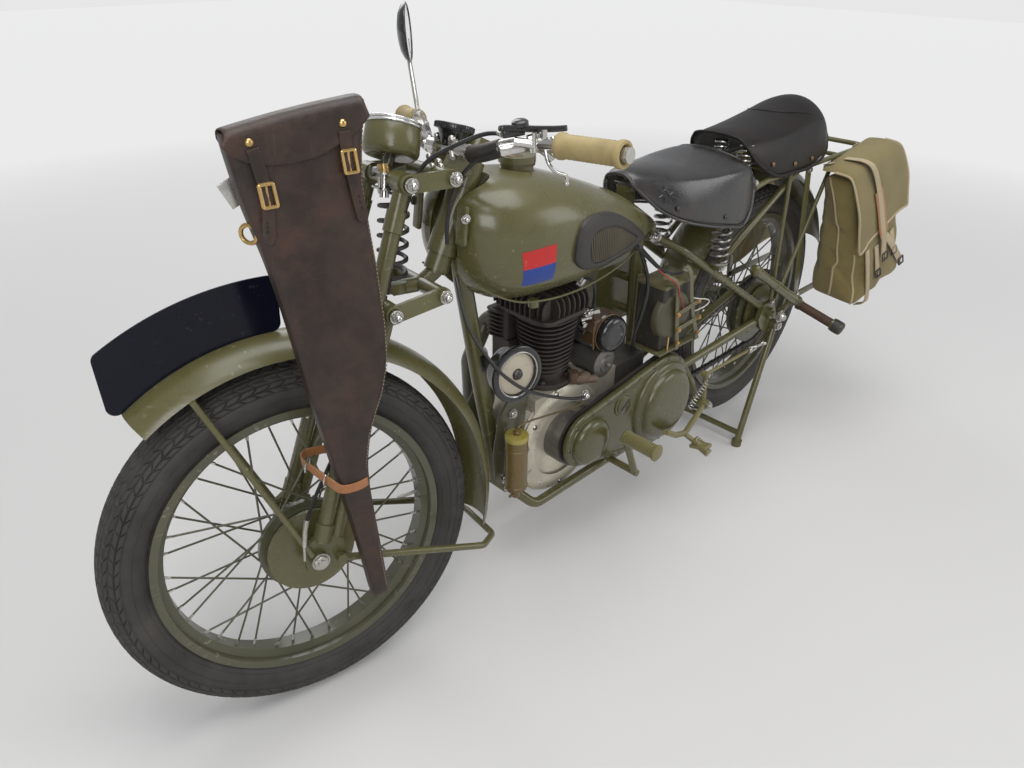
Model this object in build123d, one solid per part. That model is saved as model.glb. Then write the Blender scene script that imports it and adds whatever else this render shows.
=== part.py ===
from build123d import *
from math import sin, cos, tan, radians, degrees, atan2, hypot, copysign, pi
import os

# Military solo motorcycle with a girder fork, parked on its rear stand. Millimetres.
# X forward, Y to the rider's left, Z up. While it is drawn, X is counted from the rear axle,
# and each finished piece is moved by origin_x, so that the middle of the whole machine is at X = 0.

# Wheels and stance
wheelbase = 1372.0
tyre_radius = 325.0
tyre_width = 88.0
rim_radius = 254.0
rim_width = 66.0
rim_seat = 244.0
rim_wall = 3.0
stand_lift = 36.0
front_axle_z = tyre_radius
rear_axle_z = tyre_radius + stand_lift

# Steering
head_rake = 27.0
steer_trail = 65.0
steer_at_rest = -12.0
stem_radius = 16.5
head_bore = 16.9
head_radius = 27.0
head_low_z = 768.0
head_high_z = 872.0

# Reach of the whole machine, for the place of the origin
rack_end = -380.0
rack_tube = 6.5
origin_x = (wheelbase + tyre_radius + rack_end - rack_tube) / 2

# Gaps between pieces
seat_gap = 0.3
turn_gap = 0.4

# Hubs and spindles
spindle_radius = 8.5
hub_radius = 24.0
spoke_size = 3.6
spokes_a_side = 20
chain_radius = 104.0
chain_y = 62.0
fork_width = 82.0
frame_end_y = 98.0
end_plate_half = 6.0

# Frame tubes
main_tube = 17.0
cradle_tube = 11.0
stay_tube = 9.5
seat_lug = (488.0, 0.0, 688.0)
seat_lug_y = 18.0
down_tube_top = (1015.0, 0.0, 800.0)
down_tube_foot = (914.0, 0.0, 222.0)
cradle_y = 73.0
cradle_z = 163.0
cradle_back_x = 470.0
chain_stay_z = 277.0

# Engine
crank_x, crank_z = 775.0, 300.0
crankcase_radius = 128.0
crankcase_half = 58.0
barrel_foot_z = 418.0
barrel_top_z = 574.0
head_top_z = 636.0
fin_half = 78.0
clutch_x, clutch_z = 500.0, 290.0
case_inner_y = 94.0
case_outer_y = 128.0
crank_cover = 80.0
clutch_cover = 106.0

# Stand
stand_pivot = (-30.0, 318.0)
stand_foot_x = 118.0
stand_foot_y = 142.0
stand_top_y = 113.0
stand_tube = 9.0
stand_cross_z = 30.0


def at_axis(z):
    """X of the steering axis at a height."""
    return wheelbase - steer_trail + 2 * steer_trail - z * tan(radians(head_rake))


steer_point = (at_axis(0.0), 0.0, 0.0)
steer_direction = Vector(-sin(radians(head_rake)), 0, cos(radians(head_rake)))
steer_axis = Axis(steer_point, steer_direction)


def rod(start, end, radius):
    """Round bar between two points."""
    a, b = Vector(*start), Vector(*end)
    return Solid.make_cylinder(radius, (b - a).length, Plane(origin=a, z_dir=b - a))


def tube(points, radius, bend):
    """Bent round bar through points, with one bend radius."""
    if len(points) == 2:
        return rod(points[0], points[1], radius)
    path = FilletPolyline(*points, radius=bend)
    return sweep(Plane(origin=path @ 0, z_dir=path % 0) * Circle(radius), path=path)


def slab(outline, low_y, high_y):
    """Flat plate: an outline of X, Z points between two Y values."""
    wire = Polyline(*[(x, low_y, z) for x, z in outline], close=True)
    return extrude(make_face(wire), amount=high_y - low_y, dir=(0, 1, 0))


def drum(x, z, low_y, high_y, radius):
    """Round block along Y."""
    return rod((x, low_y, z), (x, high_y, z), radius)


def boss(x, z, low_y, high_y, radius, edge):
    """Round block along Y with its left edge rounded."""
    block = drum(x, z, low_y, high_y, radius)
    return fillet(block.edges().sort_by(Axis.Y)[-1:], edge)


def link_plate(a, b, width, low_y, high_y):
    """Strap with round ends between two X, Z points."""
    middle = ((a[0] + b[0]) / 2, (a[1] + b[1]) / 2)
    length = hypot(b[0] - a[0], b[1] - a[1])
    turn = -degrees(atan2(b[1] - a[1], b[0] - a[0]))
    strap = Box(length, high_y - low_y, width)
    strap = Pos(middle[0], (low_y + high_y) / 2, middle[1]) * Rot(0, turn, 0) * strap
    return strap + drum(a[0], a[1], low_y, high_y, width / 2) + drum(b[0], b[1], low_y, high_y, width / 2)


def mirrored(shape):
    return mirror(shape, about=Plane.XZ)


def both(shape):
    """A piece and its twin on the other side."""
    return [shape, mirrored(shape)]


def fused(pieces):
    whole = pieces[0]
    return whole + pieces[1:]


def coil(start, end, radius, wire, turns):
    """Coil spring between two points."""
    a, b = Vector(*start), Vector(*end)
    length = (b - a).length
    path = Helix(pitch=length / turns, height=length, radius=radius)
    section = Plane(origin=path @ 0, z_dir=path % 0) * RegularPolygon(wire, 6)
    return Plane(origin=a, z_dir=b - a) * sweep(section, path=path, is_frenet=True)


def wheel_face(points):
    """Ring section from radius, Y pairs."""
    return make_face(Polyline(*[(r, y) for r, y in points], close=True))


def tyre():
    seat, half = rim_seat + seat_gap, rim_width / 2 - rim_wall - seat_gap
    lip = rim_radius + 1.0
    belly, shoulder = tyre_width / 2, tyre_width * 0.38
    side_z, shoulder_z = lip + 30.0, tyre_radius - 11.0
    right = Polyline((seat, -18), (seat, -half), (lip, -half))
    left = Polyline((lip, half), (seat, half), (seat, 18), (seat, -18))
    wall_a = ThreePointArc((lip, -half), (side_z, -belly), (shoulder_z, -shoulder))
    crown = ThreePointArc((shoulder_z, -shoulder), (tyre_radius, 0), (shoulder_z, shoulder))
    wall_b = ThreePointArc((shoulder_z, shoulder), (side_z, belly), (lip, half))
    return revolve(make_face([right, wall_a, crown, wall_b, left]), Axis.Y)


def rim():
    half, seat = rim_width / 2, rim_seat
    well, inner = seat - 12, half - rim_wall
    return revolve(wheel_face([
        (rim_radius, half), (rim_radius, inner), (seat, inner), (seat, 18), (well, 12),
        (well, -12), (seat, -18), (seat, -inner), (rim_radius, -inner), (rim_radius, -half),
        (seat - rim_wall, -half), (seat - rim_wall, -19), (well - rim_wall, -13),
        (well - rim_wall, 13), (seat - rim_wall, 19), (seat - rim_wall, half)]), Axis.Y)


def spokes(flange_y, flange_radius, side):
    """One side's spokes, crossed in pairs."""
    made = []
    for i in range(spokes_a_side):
        rim_turn = radians(360 / spokes_a_side * (i + 0.25 * side))
        hub_turn = rim_turn + radians(48 if i % 2 else -48)
        out = rim_seat - 12 - rim_wall / 2
        a = (flange_radius * cos(hub_turn), flange_y + (2.5 if i % 2 else -2.5), flange_radius * sin(hub_turn))
        b = (out * cos(rim_turn), 4.0 * side, out * sin(rim_turn))
        made.append(rod(a, b, spoke_size / 2))
    return made


def hub(barrel, left_y, left_radius, right_y, right_radius, ends):
    """Hub with a big drum on its left and a small flange on its right."""
    bore = spindle_radius + turn_gap
    return revolve(wheel_face([
        (bore, -ends), (barrel, -ends), (barrel, right_y - 4), (right_radius, right_y - 4),
        (right_radius, right_y + 4), (barrel, right_y + 4), (barrel, left_y - 22),
        (left_radius + 6, left_y - 6), (left_radius + 6, left_y + 4), (left_radius - 2, left_y + 4),
        (left_radius - 2, left_y + 14), (bore, left_y + 14)]), Axis.Y)


def wire_wheel(left_y, left_radius, right_y, right_radius, ends):
    pieces = [rim(), hub(hub_radius, left_y, left_radius, right_y, right_radius, ends)]
    pieces += spokes(left_y - 1, left_radius + 2, 1) + spokes(right_y, right_radius - 4, -1)
    return fused(pieces)


def guard_band(inner, crown_rise, half, thick, low_turn, high_turn):
    """Mudguard: a bowed section swept round the wheel's axle."""
    outer_arc = ThreePointArc((inner, -half), (inner + crown_rise, 0), (inner, half))
    inner_arc = ThreePointArc((inner, half - thick), (inner + crown_rise - thick, 0), (inner, thick - half))
    section = make_face([outer_arc, Line((inner, half), (inner, half - thick)), inner_arc,
                         Line((inner, thick - half), (inner, -half))])
    band = revolve(Rot(0, -low_turn, 0) * section, Axis((0, 0, 0), (0, -1, 0)), high_turn - low_turn)
    return band


def along(a, b, share):
    return Vector(*a) + (Vector(*b) - Vector(*a)) * share


def steered(shape):
    """Turns a piece of the fork from straight ahead to its place at rest."""
    return shape.rotate(steer_axis, steer_at_rest)


# Frame
def down_tube_x(z):
    """X of the front down tube's middle at a height."""
    share = (down_tube_top[2] - z) / (down_tube_top[2] - down_tube_foot[2])
    return down_tube_top[0] + (down_tube_foot[0] - down_tube_top[0]) * share


def frame_tubes():
    head_a = (at_axis(head_low_z), 0, head_low_z)
    head_b = (at_axis(head_high_z), 0, head_high_z)
    top_start = (at_axis(848.0) - 10, 0, 840.0)
    end_y = frame_end_y - end_plate_half
    bottom_lug = (cradle_back_x - 14, 0, cradle_z + 5)
    stay_lug = (448.0, 0.0, 662.0)
    nose_lug = slab([(528, 700), (560, 712), (556, 793.1), (528, 783.1)], -14, 14)
    tubes = [rod(head_a, head_b, head_radius), rod(top_start, seat_lug, main_tube), nose_lug,
             drum(930, 822, -26.7, 26.7, 9), drum(600, 722, -26.7, 26.7, 9),
             rod(down_tube_top, down_tube_foot, main_tube), rod(seat_lug, bottom_lug, main_tube - 2),
             rod((down_tube_top[0] + 12, 0, down_tube_top[2]), down_tube_top, main_tube),
             drum(bottom_lug[0], bottom_lug[2], -cradle_y, cradle_y, main_tube),
             drum(bottom_lug[0] + 6, chain_stay_z, -44, 44, main_tube - 2),
             rod(seat_lug, stay_lug, main_tube), drum(stay_lug[0], stay_lug[2], -26, 26, 11),
             rod((914, -34, 216), (914, 34, 216), main_tube - 2)]
    cradle = tube([(912, 30, 214), (868, cradle_y, cradle_z), (bottom_lug[0], cradle_y, bottom_lug[2])],
                  cradle_tube, 30)
    chain_stay = rod((bottom_lug[0] + 4, 42, chain_stay_z), (12, end_y, rear_axle_z - 15), 11)
    seat_stay = tube([(stay_lug[0], seat_lug_y, stay_lug[2]), (385, 66, 620), (6, end_y, rear_axle_z + 8)],
                     stay_tube, 50)
    outline = [(-48, 300), (-48, 340), (-22, 392), (30, 392), (48, 352), (30, 322), (-10, 296)]
    end_plate = slab(outline, end_y, frame_end_y + end_plate_half)
    spring_cup = rod((272, 76, 546), (272, 84, 573), 9) + rod((272, 84, 568), (272, 84, 576.4), 24)
    for part in (cradle, chain_stay, seat_stay, end_plate, spring_cup):
        tubes += both(part)
    tubes.append(tube([(318, 62, 299), (318, 90, 262), (316, 110, 216)], 7, 10) + drum(316, 216, 100, 123.7, 13))
    whole = fused(tubes)
    whole -= rod(Vector(*head_a) - steer_direction * 10, Vector(*head_b) + steer_direction * 10, head_bore)
    whole -= drum(0, rear_axle_z, -130, 130, spindle_radius + 0.1)
    return whole


tank_sections = [
    # x, half width, low z, high z, squareness of the section
    (1040, 50, 752, 842, 2.4),
    (1022, 84, 718, 868, 2.5),
    (985, 112, 682, 884, 2.6),
    (905, 132, 664, 888, 2.7),
    (820, 134, 660, 874, 2.7),
    (740, 124, 660, 848, 2.7),
    (650, 102, 662, 812, 2.6),
    (560, 70, 664, 768, 2.4),
    (470, 36, 664, 712, 2.2),
]


def soft_section(x, half, low, high, power):
    """Rounded section across X, between an ellipse and a rectangle."""
    points = []
    for i in range(24):
        c, s = cos(2 * pi * i / 24), sin(2 * pi * i / 24)
        points.append((x, half * copysign(abs(c) ** (2 / power), c),
                       (low + high) / 2 + (high - low) / 2 * copysign(abs(s) ** (2 / power), s)))
    return make_face(Spline(*points, periodic=True))


def tank_form(grow):
    return loft([soft_section(x, half + grow, low - grow, high + grow, power)
                 for x, half, low, high, power in tank_sections])


def tank():
    tunnel = slab([(1200, 640), (1200, 930), (1010, 876), (440, 722), (440, 640)], -27, 27)
    head_notch = rod((at_axis(680.0), 0, 680.0), (at_axis(960.0), 0, 960.0), head_radius + 9)
    nose_slot = slab([(440, 700), (575, 700), (575, 840), (440, 840)], -27, 27)
    body = tank_form(0) - tunnel - head_notch - nose_slot
    cap = rod((866, 0, 872), (866, 0, 898), 30) + rod((866, 0, 896), (866, 0, 908), 34)
    return body + cap


def knee_pads():
    outline = Pos(690, 0, 736) * Rot(90, 0, 0) * Ellipse(116, 38)
    block = extrude(outline, amount=200, both=True)
    pad = (block & tank_form(11)) - tank_form(0.2)
    pad -= Box(3000, 120, 3000)
    return pad


def saddle():
    outline = [(598, 30), (560, 62), (400, 104), (250, 128), (214, 100)]
    plan = [(x, y) for x, y in outline] + [(x, -y) for x, y in reversed(outline)]
    body = extrude(Plane.XY.offset(690) * make_face(Polyline(*plan, close=True)), amount=134)
    hollow = [(575, 22), (545, 50), (395, 90), (256, 112), (228, 88)]
    inside = [(x, y) for x, y in hollow] + [(x, -y) for x, y in reversed(hollow)]
    body -= extrude(Plane.XY.offset(680) * make_face(Polyline(*inside, close=True)), amount=90)
    body -= slab([(700, 600), (700, 803), (560, 795), (440, 752), (330, 712), (240, 680), (100, 600)], -200, 200)
    body -= slab([(700, 900), (700, 828), (598, 826), (420, 818), (200, 784), (100, 784), (100, 900)], -200, 200)
    return body


def seat_springs():
    """Saddle springs, and the posts that carry the saddle's back on them."""
    made = both(coil((272, 84, 580), (272, 84, 654), 22, 3.2, 5))
    made += both(rod((272, 84, 657.6), (272, 84, 664), 25) + rod((272, 84, 660), (272, 84, 769.7), 8))
    return made


def pillion_seat():
    side = Plane.XZ * make_face(Polyline(
        (296, 828), (280, 844), (250, 850), (120, 866), (-40, 898), (-110, 896), (-150, 860),
        (-150, 780), (-120, 754.9), (130, 754.9), (178, 768), (205, 792), (250, 812), close=True))
    return extrude(side, amount=112, both=True)


def rear_guard():
    band = guard_band(352, 30, 55, 2.5, 20, 163)
    band = Pos(0, 0, rear_axle_z) * band
    lugs = [rod((x, 0, 728), (x, 0, 742.2), 9) for x in (60, -90)]
    return fused([band] + lugs)


def carrier():
    side, height = 106.0, 748.0
    loop = tube([(196, side, height - 8), (140, side, height), (rack_end, side, height),
                 (rack_end, -side, height), (140, -side, height), (196, -side, height - 8)], rack_tube, 35)
    bars = [rod((x, -side, height), (x, side, height), rack_tube - 1) for x in (196, 60, -90, -220)]
    stays = []
    for x in (30.0, -200.0):
        stays += both(rod((x, side, height), (x * 0.12 + 6, side + 2, 395), 5.5))
    clip = rod((18, 104, 446.7), (18, 115.7, 446.7), 9)
    return fused([loop] + bars + stays + [clip])


def pannier_bag():
    outline = [(-378, 420), (-378, 735), (-356, 766), (-140, 766), (-118, 735), (-118, 400), (-140, 380), (-340, 380)]
    return slab(outline, 112.9, 228)


# Engine
def crankcase():
    body = drum(crank_x, crank_z - 10, -crankcase_half, crankcase_half, crankcase_radius)
    shelf = Pos(687.2, 0, 370) * Box(185.6, 2 * crankcase_half - 10, 60)
    front_lug = slab([(870, 262), (870, 345), (917.8, 345), (903.2, 262)], -12, 12)
    neck = Pos(crank_x, 0, 396) * Box(170, 2 * crankcase_half, barrel_foot_z - 375)
    timing = mirrored(boss(760, 330, crankcase_half - 2, crankcase_half + 26, 82, 8))
    return fused([body, shelf, neck, timing, front_lug])


def cylinder():
    core = Pos(crank_x, 0, (barrel_foot_z + barrel_top_z) / 2) * Box(104, 100, barrel_top_z - barrel_foot_z)
    fins = []
    count = 9
    for i in range(count):
        z = barrel_foot_z + 30 + (barrel_top_z - barrel_foot_z - 36) * i / (count - 1)
        half = fin_half - 22 * (1 - i / (count - 1))
        fins.append(Pos(crank_x, 0, z) * extrude(RectangleRounded(2 * half, 2 * half, 30), amount=4))
    ports = [rod((800, -40, 520), (800, -78.7, 520), 24), rod((730, -60, 540), (700.4, -60, 540), 14)]
    return fused([core] + fins + ports)


def cylinder_head():
    base = Pos(crank_x, 0, barrel_top_z) * extrude(RectangleRounded(148, 148, 34), amount=16)
    fins = []
    for i in range(9):
        y = -64 + 16 * i
        fins.append(Pos(crank_x, y, barrel_top_z + 14) * extrude(Rectangle(128, 4), amount=46))
    return fused([base] + fins)


def primary_chaincase():
    outline = make_hull([*(Pos(crank_x, crank_z + 8) * Circle(crank_cover)).edges(),
                         *(Pos(clutch_x, clutch_z) * Circle(clutch_cover)).edges()])
    plane = Plane(origin=(0, case_inner_y, 0), x_dir=(1, 0, 0), z_dir=(0, -1, 0))
    body = extrude(plane * outline, amount=-(case_outer_y - case_inner_y))
    body = fillet(body.faces().sort_by(Axis.Y)[-1].edges(), 9)
    domes = [boss(clutch_x, clutch_z, case_outer_y - 1, case_outer_y + 12, 94, 8),
             boss(clutch_x, clutch_z, case_outer_y + 10, case_outer_y + 26, 77, 12),
             boss(crank_x, crank_z + 8, case_outer_y - 1, case_outer_y + 22, 43, 10),
             boss(632, 318, case_outer_y - 1, case_outer_y + 6, 25, 3),
             drum(crank_x, crank_z, crankcase_half + seat_gap, case_inner_y + 1, 58),
             drum(clutch_x, clutch_z + 10, chain_y + 4.4, case_inner_y + 1, 28)]
    return fused([body] + domes)


def gearbox():
    body = Pos(540, -12, 322) * Box(108, 128, 146)
    cover = mirrored(boss(540, 322, 70, 100, 68, 8))
    sprocket = drum(clutch_x, clutch_z + 10, 50, 60, 22) + drum(clutch_x, clutch_z + 10, chain_y - 4, chain_y + 4, 39.6)
    return fused([body, cover, sprocket])


def magneto():
    dynamo = drum(650, 505, -28, 72, 38)
    lower = drum(655, 436, -20, 66, 36)
    return fused([dynamo, lower])


def carburettor():
    body = rod((660, -60, 500), (660, -60, 585), 24)
    bell = rod((612, -60, 540), (690, -60, 540), 20)
    stub = rod((690, -60, 540), (700, -60, 540), 12)
    bowl = rod((660, -102, 488), (660, -102, 560), 22)
    return fused([body, bell, stub, bowl])


def exhaust():
    pipe = tube([(800, -79, 520), (800, -150, 520), (856, -150, 430), (850, -150, 240), (730, -150, 224), (560, -150, 228)], 19, 24)
    silencer = rod((560, -150, 228), (200, -156, 272), 40)
    tail = rod((210, -156, 271), (140, -156, 280), 14)
    hanger = rod((300, -154, 259), (300, -77.2, 296.1), 7)
    return fused([pipe, silencer, tail, hanger])


def oil_tank():
    outline = [(385, 470), (385, 570), (410, 594), (560, 594), (575, 570), (560, 470), (520, 445), (410, 445)]
    lugs = [drum(x, z, -41, -15.3, 9) for x, z in ((475, 480), (480, 560))]
    return fused([slab(outline, -128, -40)] + lugs)


def battery():
    return Pos(470, 82, 508.3) * Box(112, 76, 150)


def battery_carrier():
    tray = Pos(470, 82, 430) * Box(130, 92, 6)
    straps = []
    for x in (424.0, 516.0):
        straps.append(Pos(x, 124, 512) * Box(16, 4, 170))
        straps.append(Pos(x, 82, 595) * Box(16, 88, 4))
        straps.append(Pos(x, 40, 512) * Box(16, 4, 170))
    lugs = [drum(x, z, 15.3, 40, 9) for x, z in ((475, 480), (480, 560))]
    rails = [Pos(470, 40, z) * Box(104, 4, 20) for z in (480, 560)]
    return fused([tray] + straps + rails + lugs)


def horn():
    axis = Vector(0.35, 0.94, 0).normalized()
    centre = Vector(948, 88, 530)
    back = centre - axis * 40
    body = rod(back, centre, 52)
    stalk = rod((down_tube_x(530) - 4, main_tube + seat_gap, 530), (950, 60, 530), 8)
    return fused([body, stalk])


def oil_bottle():
    body = rod((938, 84, 256), (938, 84, 384), 23)
    tap = rod((938, 84, 232), (938, 84, 258), 9)
    arm = rod((down_tube_x(330), main_tube + seat_gap, 330), (938, 70, 330), 6)
    return fused([body, tap, arm])


def tyre_pump():
    foot, top = (-115, 128, 366), (165, 128, 536)
    barrel = rod(foot, top, 12)
    return fused([barrel, rod(along(top, foot, 0.02), along(top, foot, 0.09), 14), rod(along(foot, top, 0.01), along(foot, top, 0.05), 14)])


def footrests():
    bar_z = cradle_z + 22.3
    hanger = rod((640, -200, bar_z), (640, 176, bar_z), 8)
    pieces = [hanger]
    for y, out in ((168.0, 1), (-200.0, -1)):
        pieces.append(rod((640, y, bar_z), (690, y, 306), 8))
        pieces.append(rod((690, y, 306), (690, y + 88 * out, 306), 15))
    peg = tube([(-48.3, 96, 330), (-88, 96, 330), (-140, 96, 354), (-140, 254, 317)], 8, 12)
    peg += rod((-140, 130, 346), (-140, 226, 323.5), 12) + rod((-140, 226, 323.5), (-140, 254, 317), 18)
    return [fused(pieces)] + both(peg)


def foot_controls():
    pedal = tube([(316, 134, 216), (375, 148, 207), (451, 170, 206), (501, 176, 226), (548, 178, 258)], 7, 16)
    pad = rod((451, 165, 206), (448, 232, 184), 6) + rod((448, 200, 194), (448, 240, 181), 10)
    arm = rod((316, 130, 216), (326, 130, 304), 6) + drum(316, 216, 124, 142, 13) + drum(326, 304, 122, 138, 9)
    pull = rod((326, 130, 304), (66, 132, 300), 4)
    kick = tube([(540, -100.4, 322), (540, -128, 322), (560, -140, 350), (600, -150, 440)], 8, 12)
    kick += rod((600, -146, 440), (600, -236, 440), 12)
    return [fused([pedal, pad, arm, pull]), kick]


def rear_chain():
    front_x, front_z, front_r = clutch_x, clutch_z + 10, 46.0
    outer = make_hull([*(Pos(front_x, front_z) * Circle(front_r + 6)).edges(),
                       *(Pos(0, rear_axle_z) * Circle(chain_radius + 6)).edges()])
    inner = make_hull([*(Pos(front_x, front_z) * Circle(front_r - 6)).edges(),
                       *(Pos(0, rear_axle_z) * Circle(chain_radius - 6)).edges()])
    plane = Plane(origin=(0, chain_y + 6, 0), x_dir=(1, 0, 0), z_dir=(0, -1, 0))
    return extrude(plane * (outer - inner), amount=12)


def chain_run_z(x):
    """Height of the chain's upper run."""
    front, back = clutch_z + 10 + 46.0, rear_axle_z + chain_radius
    return back + (front - back) * x / clutch_x


def chain_guard():
    front_x, back_x, rise = 400.0, 110.0, 14.0
    low = [(front_x, chain_run_z(front_x) + rise), (back_x, chain_run_z(back_x) + rise)]
    high = [(x, z + 3) for x, z in reversed(low)]
    skirt = [(x, z - 12) for x, z in reversed(low)]
    bracket = rod((396, 53, 381), (456.8, 9.4, 381), 4)
    return fused([slab(low + high, chain_y - 12, chain_y + 8), slab(low + skirt, chain_y - 12, chain_y - 10), bracket])


def rear_spindle():
    face = frame_end_y + end_plate_half + seat_gap
    shaft = drum(0, rear_axle_z, -face - 18, face + 18, spindle_radius)
    nut = drum(0, rear_axle_z, face, face + 11, 15)
    plate = drum(0, rear_axle_z, chain_y + 8, chain_y + 13, 69)
    return fused([shaft, plate] + both(nut))


def rear_stand():
    foot = (stand_foot_x, stand_foot_y, stand_tube)
    top = (stand_pivot[0], stand_top_y, stand_pivot[1])
    leg = rod(top, foot, stand_tube)
    shoe = rod((stand_foot_x, stand_foot_y, 0), (stand_foot_x, stand_foot_y, 16), 14)
    eye = drum(stand_pivot[0], stand_pivot[1], stand_top_y - 8, stand_top_y + 8, 15)
    share = (stand_pivot[1] - stand_cross_z) / stand_pivot[1]
    cross_x = stand_pivot[0] + (stand_foot_x - stand_pivot[0]) * share
    cross_y = stand_top_y + (stand_foot_y - stand_top_y) * share
    cross = rod((cross_x, -cross_y, stand_cross_z), (cross_x, cross_y, stand_cross_z), stand_tube - 1)
    return fused(both(leg) + both(shoe) + both(eye) + [cross])


# Fork, drawn straight ahead
bar_centre = (1012.0, 938.0)
bar_radius = 11.0
link_y = 76.0
link_thick = 8.0
upper_front, upper_rear = (1131.0, 910.0), (1055.0, 908.0)
lower_front, lower_rear = (1181.0, 712.0), (1090.0, 724.0)


def girder_fork():
    parts = []
    blade = rod((upper_front[0], 62, upper_front[1]), (wheelbase - 15, fork_width, front_axle_z + 37), 13)
    back = rod((lower_front[0], 64, lower_front[1]), (wheelbase - 38, fork_width, front_axle_z + 30), 11)
    lug = slab([(wheelbase - 48, 312), (wheelbase - 48, 345), (wheelbase - 12, 372), (wheelbase + 22, 352),
                (wheelbase + 22, 306)], fork_width - 6, fork_width + 6)
    top_eye = drum(upper_front[0], upper_front[1], 45, link_y - seat_gap, 17)
    low_eye = drum(lower_front[0], lower_front[1], 45, link_y - seat_gap, 17)
    low_strut = rod((lower_front[0], 62, lower_front[1]), (1212, 66, 713), 10)
    for part in (blade, back, lug, top_eye, low_eye, low_strut):
        parts += both(part)
    parts.append(rod((1222, -70, 690), (1222, 70, 690), 9))
    parts.append(rod((1222, 0, 690), (1227.6, 0, 677.2), 8))
    parts.append(rod((1131, -50, 910), (1131, 50, 910), 13))
    parts.append(rod((1131, 0, 910), (1119, 0, 896), 14))
    parts.append(rod((1181, -50, 712), (1181, 50, 712), 12))
    for z in (620.0, 470.0):
        x = upper_front[0] + (wheelbase - 15 - upper_front[0]) * (upper_front[1] - z) / (upper_front[1] - front_axle_z - 37)
        parts.append(rod((x, 70, z), (x, 113.6, z), 8))
    whole = fused(parts)
    return whole - drum(wheelbase, front_axle_z, -130, 130, spindle_radius + 0.1)


def fork_links():
    parts = []
    for a, b in ((upper_front, upper_rear), (lower_front, lower_rear)):
        out = link_y + link_thick
        plate = link_plate(a, b, 28, link_y, out)
        parts += both(plate + drum(a[0], a[1], out - 1, out + 7, 10) + drum(b[0], b[1], out - 1, out + 7, 10))
    return parts


def steering_stem():
    pin = link_y - seat_gap
    bar_x, bar_z = bar_centre
    stem = rod((at_axis(738.0), 0, 738.0), (at_axis(932.0), 0, 932.0), stem_radius)
    flange_low = rod((at_axis(742), 0, 742), (at_axis(head_low_z - 0.6), 0, head_low_z - 0.6), 22)
    flange_high = rod((at_axis(head_high_z + 0.6), 0, head_high_z + 0.6), (at_axis(914), 0, 914), 22)
    low_arm = rod((at_axis(742), 0, 742), (lower_rear[0], 0, lower_rear[1]), 14)
    low_pin = drum(lower_rear[0], lower_rear[1], -pin, pin, 13)
    high_arm = rod((at_axis(906), 0, 906), (upper_rear[0], 0, upper_rear[1]), 13)
    high_pin = drum(upper_rear[0], upper_rear[1], -pin, pin, 13)
    spring_seat = rod((lower_rear[0], 0, lower_rear[1]), (1142, 0, 727), 13) + rod((1145, 0, 724), (1142.7, 0, 740.7), 25)
    knob = rod((at_axis(930), 0, 930), (at_axis(948), 0, 948), 24)
    riser = slab([(bar_x - 13, bar_z), (bar_x - 20, 898), (upper_rear[0], 898), (bar_x + 13, bar_z)], 18, 32)
    riser += drum(bar_x, bar_z, 18, 32, 16)
    whole = fused([stem, flange_low, flange_high, low_arm, low_pin, high_arm, high_pin, spring_seat, knob]
                  + both(riser) + [drum(bar_x - 4, 906, -32, 32, 8)])
    return whole - drum(bar_x, bar_z, -60, 60, bar_radius + 0.05)


def fork_spring():
    return coil((1142, 0, 745), (1119.4, 0, 888), 23, 4.0, 6)


grip_from, grip_to = (956.0, 222.0, 960.0), (925.0, 346.0, 956.0)


def handlebar():
    x, z = bar_centre
    left = tube([(x, 0, z), (x, 72, z), (985, 150, 958), grip_from, grip_to], bar_radius, 30)
    return fused(both(left))


def grips():
    start, end = along(grip_from, grip_to, 0.16), along(grip_from, grip_to, 1.05)
    bore_end = along(grip_from, grip_to, 1.0)
    return both(rod(start, end, 17) - rod(along(grip_from, grip_to, 0.1), bore_end, bar_radius + 0.1))


def mirror_arm():
    bar_a, bar_b = (985, -150, 958), (956, -222, 960)
    clamp = rod(along(bar_a, bar_b, 0.3), along(bar_a, bar_b, 0.55), 15) - rod(bar_a, bar_b, bar_radius + 0.1)
    stem = rod((974, -181, 972.5), (958, -230, 1064), 4)
    middle, faces = Vector(958, -230, 1110), Vector(-0.844, 0.536, 0).normalized()
    head = rod(middle - faces * 6, middle + faces * 4, 50) + rod(middle - faces * 14, middle, 26)
    return fused([clamp, stem, head])


def headlamp():
    lean = Vector(-0.345, -0.215, 0.91).normalized()
    low = Vector(1116, 0, 946)
    body = rod(low, (low + lean * 50), 44)
    ring = rod((low + lean * 48), (low + lean * 58), 48)
    stalk = rod((1129, 0, 923.4), (1118, 0, 950), 9)
    return fused([body, ring, stalk])


def speedometer():
    cup = rod((1012, -2, 957), (1003, -2, 984), 32)
    foot = rod((1012, -2, 949.4), (1011, -2, 960), 7)
    return fused([cup, foot])


def front_guard():
    band = Pos(wheelbase, 0, front_axle_z) * guard_band(350, 30, 55, 2.5, 55, 197)
    stays = both(rod((1500, 59.5, 652), (wheelbase + 12, 97, 342), 5))
    return [band] + stays


def number_plate():
    ring = drum(wheelbase, front_axle_z, -1.5, 1.5, 470) - drum(wheelbase, front_axle_z, -5, 5, 380.4)
    back = radians(95)
    keep = slab([(wheelbase, front_axle_z), (1608, front_axle_z), (1608, 900), (wheelbase, 1100),
                 (wheelbase + 600 * cos(back), front_axle_z + 600 * sin(back))], -10, 10)
    plate = ring & keep
    return fillet(plate.edges().filter_by(Axis.Y).filter_by(lambda edge: edge.length < 4), 14)


def front_spindle():
    face = fork_width + 6 + seat_gap
    shaft = drum(wheelbase, front_axle_z, -face - 14, face + 14, spindle_radius)
    nuts = both(drum(wheelbase, front_axle_z, face, face + 10, 14))
    plate = drum(wheelbase, front_axle_z, 51, 58, 76)
    return fused([shaft, plate] + nuts)


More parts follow.
